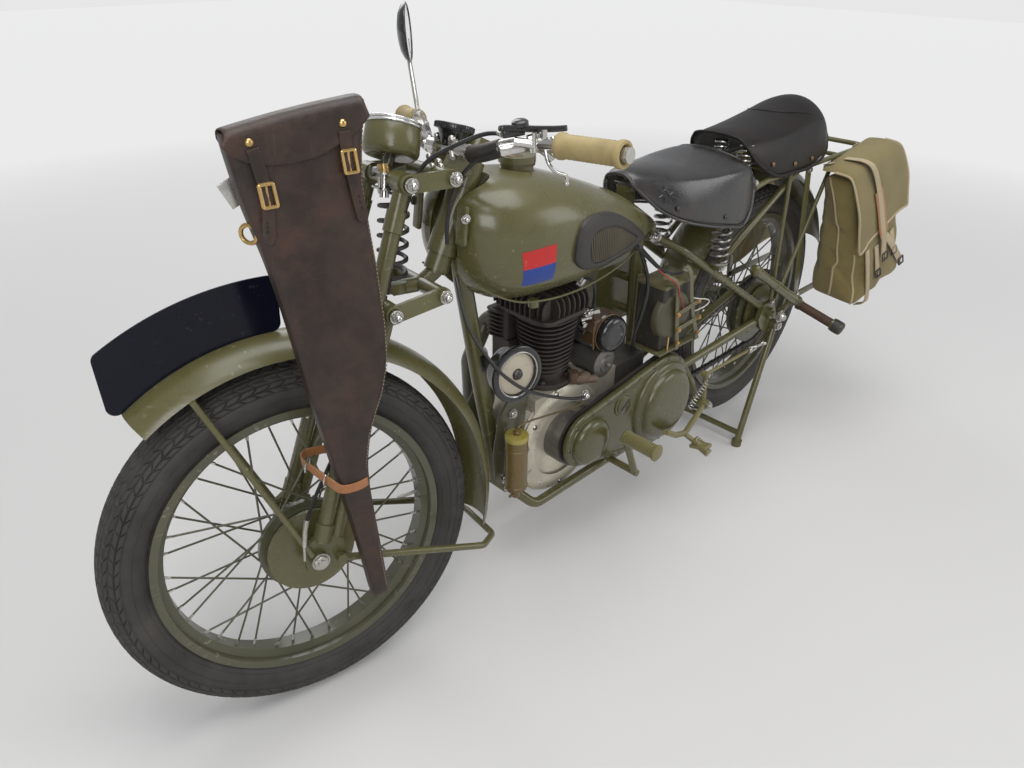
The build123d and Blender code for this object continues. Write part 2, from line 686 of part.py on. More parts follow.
def scabbard():
    front_edge = [(1404, 1040), (1397, 940), (1373, 825), (1356, 668), (1336, 513), (1318, 375), (1305, 240)]
    back_edge = [(1281, 240), (1281, 375), (1284, 474), (1270, 558), (1226, 668), (1224, 825), (1230, 940), (1212, 1040)]
    return slab(front_edge + back_edge, 114, 158)


def front_stand():
    pivot_x, pivot_z, side = 1336.0, 316.0, 96.0
    loop = tube([(pivot_x, side, pivot_z), (1060, side, 212), (1016, 56, 196), (1016, -56, 196),
                 (1060, -side, 212), (pivot_x, -side, pivot_z)], 6.5, 24)
    eyes = both(drum(pivot_x, pivot_z, 89, 103, 9))
    return fused([loop] + eyes)


front_wheel_hub = (32.0, 78.0, -38.0, 42.0, 62.0)
rear_wheel_hub = (34.0, 80.0, -38.0, 42.0, 74.0)


def chain_wheel():
    """Rear wheel with its brake drum's lip and the chain's sprocket."""
    sprocket = drum(0, 0, 59.5, 64.5, chain_radius - 6.4) + drum(0, 0, 46, 60, 60)
    return wire_wheel(*rear_wheel_hub) + (sprocket - drum(0, 0, 40, 80, 34))


def at_front(shape):
    return Pos(wheelbase, 0, front_axle_z) * shape


def at_rear(shape):
    return Pos(0, 0, rear_axle_z) * shape


fixed = {
    "frame_tubes": frame_tubes, "fuel_tank": tank, "knee_pads": knee_pads, "saddle": saddle,
    "seat_springs": seat_springs, "pillion_seat": pillion_seat, "rear_guard": rear_guard,
    "carrier": carrier, "crankcase": crankcase, "cylinder": cylinder, "cylinder_head": cylinder_head,
    "primary_chaincase": primary_chaincase, "gearbox": gearbox, "magneto": magneto,
    "carburettor": carburettor, "exhaust": exhaust, "oil_tank": oil_tank, "battery": battery,
    "battery_carrier": battery_carrier, "horn": horn, "oil_bottle": oil_bottle, "tyre_pump": tyre_pump,
    "footrests": footrests, "foot_controls": foot_controls, "rear_chain": rear_chain,
    "chain_guard": chain_guard, "rear_spindle": rear_spindle, "rear_stand": rear_stand,
    "rear_tyre": lambda: at_rear(tyre()), "rear_wheel": lambda: at_rear(chain_wheel()),
    "pannier_left": pannier_bag, "pannier_right": lambda: mirrored(pannier_bag()),
}
on_fork = {
    "girder_fork": girder_fork, "fork_links": fork_links, "steering_stem": steering_stem,
    "fork_spring": fork_spring, "handlebar": handlebar, "grips": grips, "mirror": mirror_arm,
    "headlamp": headlamp, "speedometer": speedometer, "front_guard": front_guard,
    "number_plate": number_plate, "front_spindle": front_spindle, "scabbard": scabbard,
    "front_stand": front_stand, "front_tyre": lambda: at_front(tyre()),
    "front_wheel": lambda: at_front(wire_wheel(*front_wheel_hub)),
}

os.makedirs("parts", exist_ok=True)
for name, make in {**fixed, **on_fork}.items():
    made = make()
    pieces = made if isinstance(made, list) else [made]
    solids = [solid for piece in pieces for solid in piece.solids()]
    if name in on_fork:
        solids = [steered(solid) for solid in solids]
    placed = [solid.moved(Location((-origin_x, 0, 0))) for solid in solids]
    export_step(placed[0] if len(placed) == 1 else Compound(children=placed), f"parts/{name}.step")
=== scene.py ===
from math import atan2, cos, degrees, hypot, pi, radians, sin, sqrt

import bpy
from mathutils import Matrix, Vector, noise


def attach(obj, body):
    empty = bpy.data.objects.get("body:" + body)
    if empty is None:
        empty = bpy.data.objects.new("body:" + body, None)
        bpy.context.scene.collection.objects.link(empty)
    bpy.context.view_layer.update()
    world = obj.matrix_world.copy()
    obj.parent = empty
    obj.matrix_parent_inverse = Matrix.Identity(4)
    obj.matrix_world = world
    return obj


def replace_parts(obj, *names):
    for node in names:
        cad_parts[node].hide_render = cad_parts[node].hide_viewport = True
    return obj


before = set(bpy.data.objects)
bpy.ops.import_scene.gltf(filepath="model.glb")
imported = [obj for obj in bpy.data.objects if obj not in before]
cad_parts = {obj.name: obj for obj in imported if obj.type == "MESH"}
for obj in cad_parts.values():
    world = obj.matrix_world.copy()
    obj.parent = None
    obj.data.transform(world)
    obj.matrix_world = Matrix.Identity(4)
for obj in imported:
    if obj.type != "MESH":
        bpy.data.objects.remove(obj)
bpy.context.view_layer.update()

# Places are written in millimetres, X counted from the rear axle, Y to the rider's left, Z up.
stance = {
    "originX": 655.25,       # X of the whole machine's middle
    "wheelbase": 1372.0,
    "tyreRadius": 325.0,
    "rearAxleZ": 361.0,      # the rear stand lifts it
    "rake": 27.0,
    "trail": 65.0,
    "steerAtRest": -12.0,
}


def spot(x, y, z):
    return Vector(((x - stance["originX"]) / 1000, y / 1000, z / 1000))


def mm(value):
    return value / 1000


def measured(place):
    # The other way: from Blender's metres back to the script's millimetres
    return place.x * 1000 + stance["originX"], place.y * 1000, place.z * 1000


steerFoot = spot(stance["wheelbase"] + stance["trail"], 0, 0)
steerLine = Vector((-sin(radians(stance["rake"])), 0, cos(radians(stance["rake"]))))
forkTurn = (Matrix.Translation(steerFoot)
            @ Matrix.Rotation(radians(stance["steerAtRest"]), 4, steerLine)
            @ Matrix.Translation(-steerFoot))


def say(text):
    print("stage:", text)


# Helpers that work as by hand: everything is deselected first
def clearSelection():
    if bpy.context.object and bpy.context.object.mode != "OBJECT":
        bpy.ops.object.mode_set(mode="OBJECT")
    bpy.ops.object.select_all(action="DESELECT")


def pick(piece):
    clearSelection()
    piece.select_set(True)
    bpy.context.view_layer.objects.active = piece


def settle(piece):
    pick(piece)
    bpy.ops.object.transform_apply(location=True, rotation=True, scale=True)
    return piece


def named(name):
    piece = bpy.context.object
    piece.name = name
    piece.data.name = name
    return settle(piece)


def addBlock(name, centre, size, turn=(0, 0, 0)):
    clearSelection()
    bpy.ops.mesh.primitive_cube_add(size=1, location=spot(*centre), rotation=[radians(a) for a in turn])
    bpy.context.object.scale = [mm(s) for s in size]
    return named(name)


def addBar(name, start, end, radius, sides=24, endRadius=None):
    a, b = spot(*start), spot(*end)
    clearSelection()
    turn = (b - a).to_track_quat("Z", "Y").to_euler()
    top = radius if endRadius is None else endRadius
    bpy.ops.mesh.primitive_cone_add(vertices=sides, radius1=mm(radius), radius2=mm(top), depth=(b - a).length,
                                    location=(a + b) / 2, rotation=turn)
    return named(name)


def addBars(name, rows):
    # start, end, radius, sides and, where it tapers, the radius at the end
    return [addBar(name, *row) for row in rows]


def addRing(name, centre, axis, radius, wire, steps=48, sides=12):
    clearSelection()
    turn = Vector(axis).to_track_quat("Z", "Y").to_euler()
    bpy.ops.mesh.primitive_torus_add(location=spot(*centre), rotation=turn, major_segments=steps,
                                     minor_segments=sides, major_radius=mm(radius), minor_radius=mm(wire))
    return named(name)


def addBall(name, centre, radius, squash=(1, 1, 1), sides=24):
    clearSelection()
    bpy.ops.mesh.primitive_uv_sphere_add(segments=sides, ring_count=sides // 2, radius=mm(radius),
                                         location=spot(*centre))
    bpy.context.object.scale = squash
    return named(name)


def newMesh(name, points, edges, faces):
    mesh = bpy.data.meshes.new(name)
    mesh.from_pydata(points, edges, faces)
    piece = bpy.data.objects.new(name, mesh)
    bpy.context.scene.collection.objects.link(piece)
    return piece


def startEdit(piece):
    pick(piece)
    bpy.ops.object.mode_set(mode="EDIT")
    bpy.ops.mesh.select_all(action="SELECT")


def endEdit(piece):
    # Every face is turned outward before the edit ends
    bpy.ops.mesh.select_all(action="SELECT")
    bpy.ops.mesh.normals_make_consistent(inside=False)
    bpy.ops.object.mode_set(mode="OBJECT")
    return piece


def facesOutward(piece):
    startEdit(piece)
    return endEdit(piece)


def gridFaces(rows, columns, ring=False):
    # Faces between rows of points, where a ring closes each row on itself
    return [(r * columns + c, r * columns + (c + 1) % columns,
             (r + 1) * columns + (c + 1) % columns, (r + 1) * columns + c)
            for r in range(rows - 1) for c in range(columns if ring else columns - 1)]


def addGrid(name, rows, flip=False):
    faces = gridFaces(len(rows), len(rows[0]))
    if flip:
        faces = [(a, d, c, b) for a, b, c, d in faces]
    return newMesh(name, [spot(*point) for row in rows for point in row], [], faces)


def addLathe(name, profile, centre, axis, steps=48):
    axis = Vector(axis).normalized()
    side = axis.orthogonal().normalized()
    middle = spot(*centre)
    points = [middle + side * mm(max(r, 0.0)) + axis * mm(h) for r, h in profile]
    piece = newMesh(name, points, [(i, i + 1) for i in range(len(points) - 1)], [])
    startEdit(piece)
    bpy.ops.mesh.spin(steps=steps, angle=2 * pi, center=middle, axis=axis)
    bpy.ops.mesh.select_all(action="SELECT")
    bpy.ops.mesh.remove_doubles(threshold=0.00001)
    return endEdit(piece)


def pulled(name, points, move):
    # A flat outline pulled along a line into a solid
    piece = newMesh(name, points, [], [tuple(range(len(points)))])
    startEdit(piece)
    bpy.ops.mesh.extrude_region_move(TRANSFORM_OT_translate={"value": [mm(v) for v in move]})
    return endEdit(piece)


def addPlate(name, outline, lowY, highY):
    # X, Z pairs pulled along Y
    return pulled(name, [spot(x, lowY, z) for x, z in outline], (0, highY - lowY, 0))


def addSlice(name, outline, lowZ, highZ):
    # X, Y pairs pulled upward
    return pulled(name, [spot(x, y, lowZ) for x, y in outline], (0, 0, highZ - lowZ))


def addCurve(name, points, radius, order=3, steps=8, sides=2, closed=False):
    data = bpy.data.curves.new(name, "CURVE")
    data.dimensions = "3D"
    line = data.splines.new("NURBS")
    line.points.add(len(points) - 1)
    for place, point in zip(line.points, points):
        place.co = (*spot(*point), 1)
    line.order_u = order
    line.use_endpoint_u = not closed
    line.use_cyclic_u = closed
    data.resolution_u = steps
    data.bevel_depth = mm(radius)
    data.bevel_resolution = sides
    data.use_fill_caps = True
    piece = bpy.data.objects.new(name, data)
    bpy.context.scene.collection.objects.link(piece)
    pick(piece)
    bpy.ops.object.convert(target="MESH")
    return bpy.context.object


def apply(piece, kind, **values):
    pick(piece)
    change = piece.modifiers.new(kind.title(), kind)
    for key, value in values.items():
        setattr(change, key, value)
    bpy.ops.object.modifier_apply(modifier=change.name)
    return piece


def bevelled(piece, width, segments=2, angle=35):
    return apply(piece, "BEVEL", width=mm(width), segments=segments, limit_method="ANGLE", angle_limit=radians(angle))


def softBlock(name, centre, size, turn, width, segments):
    return bevelled(addBlock(name, centre, size, turn), width, segments)


def smooth(piece, angle=40):
    pick(piece)
    bpy.ops.object.shade_smooth_by_angle(angle=radians(angle))
    return piece


def rounded(piece, levels=2):
    apply(piece, "SUBSURF", levels=levels, render_levels=levels)
    pick(piece)
    bpy.ops.object.shade_smooth()
    return piece


def joined(name, pieces):
    clearSelection()
    for piece in pieces:
        piece.select_set(True)
    bpy.context.view_layer.objects.active = pieces[0]
    if len(pieces) > 1:
        bpy.ops.object.join()
    piece = bpy.context.object
    piece.name = name
    piece.data.name = name
    return piece


def copied(piece, matrix):
    twin = piece.copy()
    twin.data = piece.data.copy()
    bpy.context.scene.collection.objects.link(twin)
    twin.data.transform(matrix)
    if matrix.determinant() < 0:
        twin.data.flip_normals()
    return twin


otherSide = Matrix.Diagonal((1, -1, 1, 1))


def bothSides(piece):
    return [piece, copied(piece, otherSide)]


def fit(piece, body, finish, smoothAngle=40):
    # Pieces on the fork are modelled straight ahead and then turned with it
    if body in ("fork", "front_wheel_body"):
        piece.data.transform(forkTurn)
    smooth(piece, smoothAngle)
    piece.data.materials.clear()
    piece.data.materials.append(look[finish])
    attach(piece, body)
    return piece


def assemble(name, parts, body, finish, smoothAngle=40):
    return fit(joined(name, parts), body, finish, smoothAngle)


# Shader node groups, shared by the materials
groups = {}


def startGroup(name, inputs, outputs):
    group = bpy.data.node_groups.new(name, "ShaderNodeTree")
    for label, value in inputs.items():
        socket = group.interface.new_socket(label, in_out="INPUT", socket_type="NodeSocketFloat")
        socket.default_value = value
    for label in outputs:
        group.interface.new_socket(label, in_out="OUTPUT", socket_type="NodeSocketFloat")
    groups[name] = group
    return group, group.nodes.new("NodeGroupInput"), group.nodes.new("NodeGroupOutput")


def addNode(tree, kind, **values):
    node = tree.nodes.new(kind)
    for key, value in values.items():
        if key in node.inputs:
            node.inputs[key].default_value = value
        else:
            setattr(node, key, value)
    return node


def ramp(tree, source, low, high):
    node = addNode(tree, "ShaderNodeMapRange", clamp=True)
    node.inputs["From Min"].default_value = low
    node.inputs["From Max"].default_value = high
    tree.links.new(source, node.inputs["Value"])
    return node.outputs["Result"]


def maths(tree, operation, a, b=None):
    node = addNode(tree, "ShaderNodeMath", operation=operation)
    for socket, value in zip(node.inputs, (a, b)):
        if isinstance(value, (int, float)):
            socket.default_value = value
        elif value is not None:
            tree.links.new(value, socket)
    return node.outputs[0]


def noiseAt(tree, scale, detail=3.0, roughness=0.55, stretch=None):
    place = addNode(tree, "ShaderNodeTexCoord")
    source = place.outputs["Object"]
    if stretch:
        mapping = addNode(tree, "ShaderNodeMapping")
        mapping.inputs["Scale"].default_value = stretch
        tree.links.new(source, mapping.inputs["Vector"])
        source = mapping.outputs["Vector"]
    node = addNode(tree, "ShaderNodeTexNoise", Detail=detail, Roughness=roughness)
    tree.links.new(source, node.inputs["Vector"])
    if isinstance(scale, (int, float)):
        node.inputs["Scale"].default_value = scale
    else:
        tree.links.new(scale, node.inputs["Scale"])
    return node.outputs["Fac"]


def makeGrime():
    group, given, out = startGroup("grime", {"Scale": 6.0, "Low": 0.45, "High": 0.7}, ["Mask"])
    node = addNode(group, "ShaderNodeMapRange", clamp=True)
    group.links.new(noiseAt(group, given.outputs["Scale"], 6, 0.65), node.inputs["Value"])
    group.links.new(given.outputs["Low"], node.inputs["From Min"])
    group.links.new(given.outputs["High"], node.inputs["From Max"])
    group.links.new(node.outputs["Result"], out.inputs["Mask"])


def makeWear(name, scale, detail, stretch, edge, patchScale, patchEdge):
    # Sharp marks that only show inside soft patches
    group, given, out = startGroup(name, {"Scale": scale, "Amount": 0.5}, ["Mask"])
    marks = ramp(group, noiseAt(group, given.outputs["Scale"], *detail, stretch), *edge)
    patches = ramp(group, noiseAt(group, patchScale, 2), *patchEdge)
    mask = maths(group, "MULTIPLY", marks, patches)
    group.links.new(maths(group, "MULTIPLY", mask, given.outputs["Amount"]), out.inputs["Mask"])


def makeCastGrain():
    group, given, out = startGroup("castGrain", {"Scale": 300.0}, ["Height"])
    group.links.new(noiseAt(group, given.outputs["Scale"], 4, 0.6), out.inputs["Height"])


def makeLeatherGrain():
    group, given, out = startGroup("leatherGrain", {"Scale": 260.0}, ["Height", "Crease"])
    place = addNode(group, "ShaderNodeTexCoord")
    cells = addNode(group, "ShaderNodeTexVoronoi", feature="SMOOTH_F1")
    group.links.new(place.outputs["Object"], cells.inputs["Vector"])
    group.links.new(given.outputs["Scale"], cells.inputs["Scale"])
    folds = noiseAt(group, 14.0, 5, 0.7)
    fine, broad = maths(group, "MULTIPLY", cells.outputs["Distance"], 0.6), maths(group, "MULTIPLY", folds, 0.9)
    group.links.new(maths(group, "ADD", fine, broad), out.inputs["Height"])
    group.links.new(ramp(group, folds, 0.38, 0.7), out.inputs["Crease"])


def makeClothWeave():
    group, given, out = startGroup("clothWeave", {"Scale": 700.0}, ["Height", "Tone"])
    place = addNode(group, "ShaderNodeTexCoord")
    threads = []
    for direction in ("X", "Z"):
        node = addNode(group, "ShaderNodeTexWave", wave_type="BANDS", bands_direction=direction,
                       Distortion=1.2, Detail=2.0)
        group.links.new(place.outputs["Object"], node.inputs["Vector"])
        group.links.new(given.outputs["Scale"], node.inputs["Scale"])
        threads.append(node.outputs["Fac"])
    group.links.new(maths(group, "MULTIPLY", threads[0], threads[1]), out.inputs["Height"])
    group.links.new(noiseAt(group, 22.0, 6, 0.7), out.inputs["Tone"])


makeGrime()
makeWear("scuffs", 20.0, (4, 0.6), (1.0, 1.0, 7.0), (0.60, 0.68), 9.0, (0.5, 0.65))
makeWear("chips", 60.0, (2, 0.5), None, (0.66, 0.69), 7.0, (0.52, 0.6))
makeCastGrain()
makeLeatherGrain()
makeClothWeave()


def useGroup(tree, name, **values):
    node = tree.nodes.new("ShaderNodeGroup")
    node.node_tree = groups[name]
    for key, value in values.items():
        node.inputs[key].default_value = value
    return node


def blendColour(tree, mask, first, second):
    node = addNode(tree, "ShaderNodeMix", data_type="RGBA")
    tree.links.new(mask, node.inputs["Factor"])
    for label, value in (("A", first), ("B", second)):
        socket = [s for s in node.inputs if s.name == label and s.type == "RGBA"][0]
        if isinstance(value, tuple):
            socket.default_value = (*value, 1)
        else:
            tree.links.new(value, socket)
    return [s for s in node.outputs if s.type == "RGBA"][0]


def blendValue(tree, mask, first, second):
    node = addNode(tree, "ShaderNodeMapRange", clamp=True)
    node.inputs["To Min"].default_value = first
    node.inputs["To Max"].default_value = second
    tree.links.new(mask, node.inputs["Value"])
    return node.outputs["Result"]


def startMaterial(name, **plain):
    finish = bpy.data.materials.new(name)
    finish.use_nodes = True
    tree = finish.node_tree
    shader = tree.nodes["Principled BSDF"]
    for key, value in plain.items():
        shader.inputs[key.replace("_", " ")].default_value = value
    return finish, tree, shader


def addBump(tree, shader, height, strength, distance=0.001):
    node = addNode(tree, "ShaderNodeBump", Strength=strength, Distance=distance)
    tree.links.new(height, node.inputs["Height"])
    tree.links.new(node.outputs["Normal"], shader.inputs["Normal"])


def paintFinish(name, colour, faded, bare, rough=(0.22, 0.42), wear=0.5, bumpy=0.04, coat=0.35, shine=0.5):
    finish, tree, shader = startMaterial(name, Coat_Weight=coat, Coat_Roughness=0.12, Specular_IOR_Level=shine)
    grime = useGroup(tree, "grime", Scale=5.0, Low=0.42, High=0.72)
    chips = useGroup(tree, "chips", Scale=90.0, Amount=wear)
    scuffs = useGroup(tree, "scuffs", Scale=45.0, Amount=wear * 0.7)
    tone = blendColour(tree, grime.outputs["Mask"], colour, faded)
    marks = maths(tree, "MAXIMUM", chips.outputs["Mask"], scuffs.outputs["Mask"])
    tree.links.new(blendColour(tree, marks, tone, bare), shader.inputs["Base Color"])
    tree.links.new(blendValue(tree, grime.outputs["Mask"], *rough), shader.inputs["Roughness"])
    orangePeel = useGroup(tree, "castGrain", Scale=120.0)
    addBump(tree, shader, maths(tree, "SUBTRACT", orangePeel.outputs["Height"], marks), bumpy)
    return finish


def metalFinish(name, colour, dull, metallic=1.0, rough=(0.25, 0.5), grain=300.0, bumpy=0.1, wear=0.4):
    finish, tree, shader = startMaterial(name)
    grime = useGroup(tree, "grime", Scale=9.0, Low=0.4, High=0.68)
    scuffs = useGroup(tree, "scuffs", Scale=60.0, Amount=wear)
    tone = blendColour(tree, grime.outputs["Mask"], colour, dull)
    lighter = tuple(min(1.0, c * 1.4 + 0.04) for c in colour)
    tree.links.new(blendColour(tree, scuffs.outputs["Mask"], tone, lighter), shader.inputs["Base Color"])
    tree.links.new(blendValue(tree, grime.outputs["Mask"], *rough), shader.inputs["Roughness"])
    tree.links.new(blendValue(tree, grime.outputs["Mask"], metallic, metallic * 0.6), shader.inputs["Metallic"])
    cast = useGroup(tree, "castGrain", Scale=grain)
    addBump(tree, shader, cast.outputs["Height"], bumpy)
    return finish


def leatherFinish(name, colour, worn, scale=260.0, rough=(0.35, 0.6), bumpy=0.35, shine=0.5):
    finish, tree, shader = startMaterial(name, Specular_IOR_Level=shine)
    grain = useGroup(tree, "leatherGrain", Scale=scale)
    scuffs = useGroup(tree, "scuffs", Scale=30.0, Amount=0.5)
    mask = maths(tree, "MAXIMUM", maths(tree, "MULTIPLY", grain.outputs["Crease"], 0.7), scuffs.outputs["Mask"])
    tone = blendColour(tree, mask, colour, worn)
    warm = tuple(min(1.0, c * k) for c, k in zip(worn, (1.25, 0.85, 0.75)))
    blotch = useGroup(tree, "grime", Scale=16.0, Low=0.5, High=0.68)
    tone = blendColour(tree, maths(tree, "MULTIPLY", blotch.outputs["Mask"], 0.55), tone, warm)
    streaks = maths(tree, "MULTIPLY", ramp(tree, noiseAt(tree, 60.0, 3, 0.6, (1.0, 1.0, 0.12)), 0.58, 0.72),
                    ramp(tree, noiseAt(tree, 12.0, 3), 0.45, 0.65))
    pale = tuple(min(1.0, c * 2.1 + 0.01) for c in worn)
    tone = blendColour(tree, maths(tree, "MULTIPLY", streaks, 0.35), tone, pale)
    tree.links.new(tone, shader.inputs["Base Color"])
    tree.links.new(blendValue(tree, mask, *rough), shader.inputs["Roughness"])
    addBump(tree, shader, grain.outputs["Height"], bumpy, 0.0012)
    return finish


def clothFinish(name, colour, faded, scale=700.0, bumpy=0.5):
    finish, tree, shader = startMaterial(name, Roughness=0.9, Sheen_Weight=0.15)
    weave = useGroup(tree, "clothWeave", Scale=scale)
    grime = useGroup(tree, "grime", Scale=11.0, Low=0.45, High=0.7)
    mask = maths(tree, "MULTIPLY", weave.outputs["Tone"], 0.6)
    tone = blendColour(tree, mask, colour, faded)
    darker = tuple(c * 0.6 for c in colour)
    dirt = maths(tree, "MULTIPLY", grime.outputs["Mask"], 0.5)
    tree.links.new(blendColour(tree, dirt, tone, darker), shader.inputs["Base Color"])
    addBump(tree, shader, weave.outputs["Height"], bumpy, 0.0006)
    return finish


def rubberFinish(name, colour, dusty, rough=(0.55, 0.8), grain=420.0, bumpy=0.15):
    finish, tree, shader = startMaterial(name)
    grime = useGroup(tree, "grime", Scale=12.0, Low=0.42, High=0.7)
    tree.links.new(blendColour(tree, grime.outputs["Mask"], colour, dusty), shader.inputs["Base Color"])
    tree.links.new(blendValue(tree, grime.outputs["Mask"], *rough), shader.inputs["Roughness"])
    cast = useGroup(tree, "castGrain", Scale=grain)
    addBump(tree, shader, cast.outputs["Height"], bumpy, 0.0006)
    return finish


finishes = {
    paintFinish: {
        # colour, faded, bare, roughness, wear, bumps, coat, shine
        "olivePaint": [(0.090, 0.083, 0.030), (0.114, 0.104, 0.044), (0.27, 0.24, 0.16), (0.24, 0.44), 0.5, 0.04,
                       0.2],
        "oliveDull": [(0.096, 0.087, 0.038), (0.130, 0.115, 0.062), (0.32, 0.28, 0.22), (0.4, 0.65), 0.8, 0.1, 0.1],
        "oliveDark": [(0.060, 0.060, 0.032), (0.085, 0.080, 0.045), (0.25, 0.22, 0.18), (0.3, 0.5), 0.6],
        "blackPaint": [(0.012, 0.012, 0.012), (0.022, 0.021, 0.020), (0.20, 0.19, 0.17), (0.2, 0.4), 0.5],
        "plateBlack": [(0.004, 0.0045, 0.010), (0.006, 0.0065, 0.013), (0.10, 0.10, 0.12), (0.10, 0.2), 0.12, 0.02,
                       0.0, 0.22],
        "enamelWhite": [(0.62, 0.60, 0.52), (0.50, 0.47, 0.38), (0.30, 0.26, 0.18), (0.3, 0.5), 0.2],
        "enamelRed": [(0.47, 0.014, 0.012), (0.38, 0.02, 0.015), (0.3, 0.25, 0.2), (0.3, 0.5), 0.3, 0.03, 0.0],
        # The chaincase's olive is darker than olivePaint: painted shade, for the shade the case sits in
        "oliveCase": [(0.066, 0.060, 0.021), (0.084, 0.076, 0.031), (0.22, 0.19, 0.12), (0.22, 0.42), 0.45, 0.04,
                      0.2],
        "enamelBlue": [(0.008, 0.040, 0.24), (0.012, 0.048, 0.20), (0.3, 0.25, 0.2), (0.3, 0.5), 0.3, 0.03, 0.0],
        "bottlePaint": [(0.120, 0.078, 0.022), (0.155, 0.105, 0.035), (0.30, 0.20, 0.07), (0.3, 0.5), 0.7, 0.06,
                        0.15],
        "yellowPaint": [(0.30, 0.25, 0.055), (0.24, 0.20, 0.05), (0.2, 0.16, 0.06), (0.3, 0.5), 0.4, 0.06, 0.15],
        "oliveYellow": [(0.155, 0.135, 0.050), (0.19, 0.165, 0.075), (0.33, 0.29, 0.20), (0.35, 0.55), 0.9, 0.12,
                        0.05],
        "hornCream": [(0.44, 0.39, 0.30), (0.36, 0.31, 0.23), (0.30, 0.26, 0.18), (0.35, 0.55), 0.5],
        "batteryDark": [(0.020, 0.019, 0.014), (0.040, 0.036, 0.026), (0.12, 0.11, 0.08), (0.45, 0.7), 0.6, 0.1, 0.0],
        "oliveDusty": [(0.055, 0.048, 0.026), (0.085, 0.074, 0.045), (0.18, 0.15, 0.10), (0.45, 0.7), 0.8, 0.12, 0.0],
    },
    metalFinish: {
        # colour, dull, metallic, roughness, grain, bumps, wear
        "dullAlloy": [(0.22, 0.21, 0.19), (0.10, 0.09, 0.08), 0.85, (0.4, 0.65), 260.0, 0.2],
        "ironFin": [(0.045, 0.040, 0.036), (0.07, 0.05, 0.04), 0.5, (0.5, 0.75), 340.0, 0.25],
        "brightSteel": [(0.60, 0.59, 0.56), (0.34, 0.32, 0.28), 1.0, (0.16, 0.4), 500.0, 0.04],
        "chrome": [(0.78, 0.78, 0.77), (0.60, 0.59, 0.56), 1.0, (0.06, 0.2), 500.0, 0.02, 0.15],
        "darkSteel": [(0.09, 0.085, 0.08), (0.05, 0.042, 0.036), 0.9, (0.35, 0.6), 300.0, 0.12],
        "brass": [(0.58, 0.40, 0.16), (0.32, 0.20, 0.08), 1.0, (0.22, 0.45), 300.0, 0.06],
        "springSteel": [(0.34, 0.33, 0.31), (0.16, 0.14, 0.12), 0.9, (0.25, 0.5), 400.0, 0.06],
        "rustSteel": [(0.085, 0.048, 0.030), (0.055, 0.034, 0.024), 0.3, (0.6, 0.85), 260.0, 0.35],
        "caseAlloy": [(0.62, 0.58, 0.47), (0.40, 0.36, 0.28), 0.55, (0.26, 0.5), 260.0, 0.12],
        "bronzeStud": [(0.22, 0.13, 0.06), (0.12, 0.07, 0.04), 0.8, (0.35, 0.55), 300.0, 0.06],
        "oldBrass": [(0.20, 0.145, 0.075), (0.11, 0.09, 0.05), 0.9, (0.3, 0.5), 300.0, 0.08],
        "brownCover": [(0.085, 0.052, 0.033), (0.15, 0.11, 0.075), 0.25, (0.45, 0.7), 300.0, 0.15],
    },
    rubberFinish: {
        # colour, dusty, roughness
        "tyreRubber": [(0.021, 0.019, 0.017), (0.055, 0.050, 0.043)],
        "padRubber": [(0.018, 0.017, 0.015), (0.045, 0.040, 0.034), (0.45, 0.7)],
        "gripRubber": [(0.36, 0.28, 0.125), (0.23, 0.175, 0.08), (0.55, 0.8)],
        "cableBlack": [(0.010, 0.010, 0.010), (0.02, 0.02, 0.018), (0.35, 0.55)],
        "wireRed": [(0.30, 0.03, 0.02), (0.2, 0.03, 0.02), (0.4, 0.6)],
        "wireWhite": [(0.55, 0.52, 0.45), (0.4, 0.37, 0.3), (0.4, 0.6)],
        "ribRubber": [(0.085, 0.072, 0.045), (0.13, 0.115, 0.075), (0.6, 0.85)],
    },
    leatherFinish: {
        # colour, worn, grain, roughness, bumps, shine
        "blackLeather": [(0.012, 0.0115, 0.011), (0.030, 0.028, 0.026), 320.0, (0.25, 0.42), 0.22, 0.8],
        "brownLeather": [(0.021, 0.0125, 0.0095), (0.056, 0.035, 0.025), 240.0, (0.40, 0.62), 0.5, 0.42],
        "tanLeather": [(0.26, 0.11, 0.04), (0.36, 0.17, 0.07), 260.0, (0.4, 0.6), 0.3],
        "pillionLeather": [(0.0065, 0.005, 0.0045), (0.013, 0.0095, 0.0075), 320.0, (0.40, 0.55), 0.22, 0.3],
    },
    clothFinish: {
        # colour, faded, weave, bumps
        "canvas": [(0.165, 0.129, 0.041), (0.286, 0.223, 0.084)],
        "webbing": [(0.42, 0.33, 0.19), (0.55, 0.46, 0.30), 520.0, 0.7],
        "stitch": [(0.20, 0.15, 0.09), (0.30, 0.24, 0.15), 900.0, 0.3],
        "stitchDark": [(0.05, 0.045, 0.04), (0.09, 0.08, 0.07), 900.0, 0.3],
    },
}
look = {name: make(name, *values) for make, rows in finishes.items() for name, values in rows.items()}
look["glass"] = startMaterial("clearGlass", Transmission_Weight=1.0, Roughness=0.02, IOR=1.45)[0]

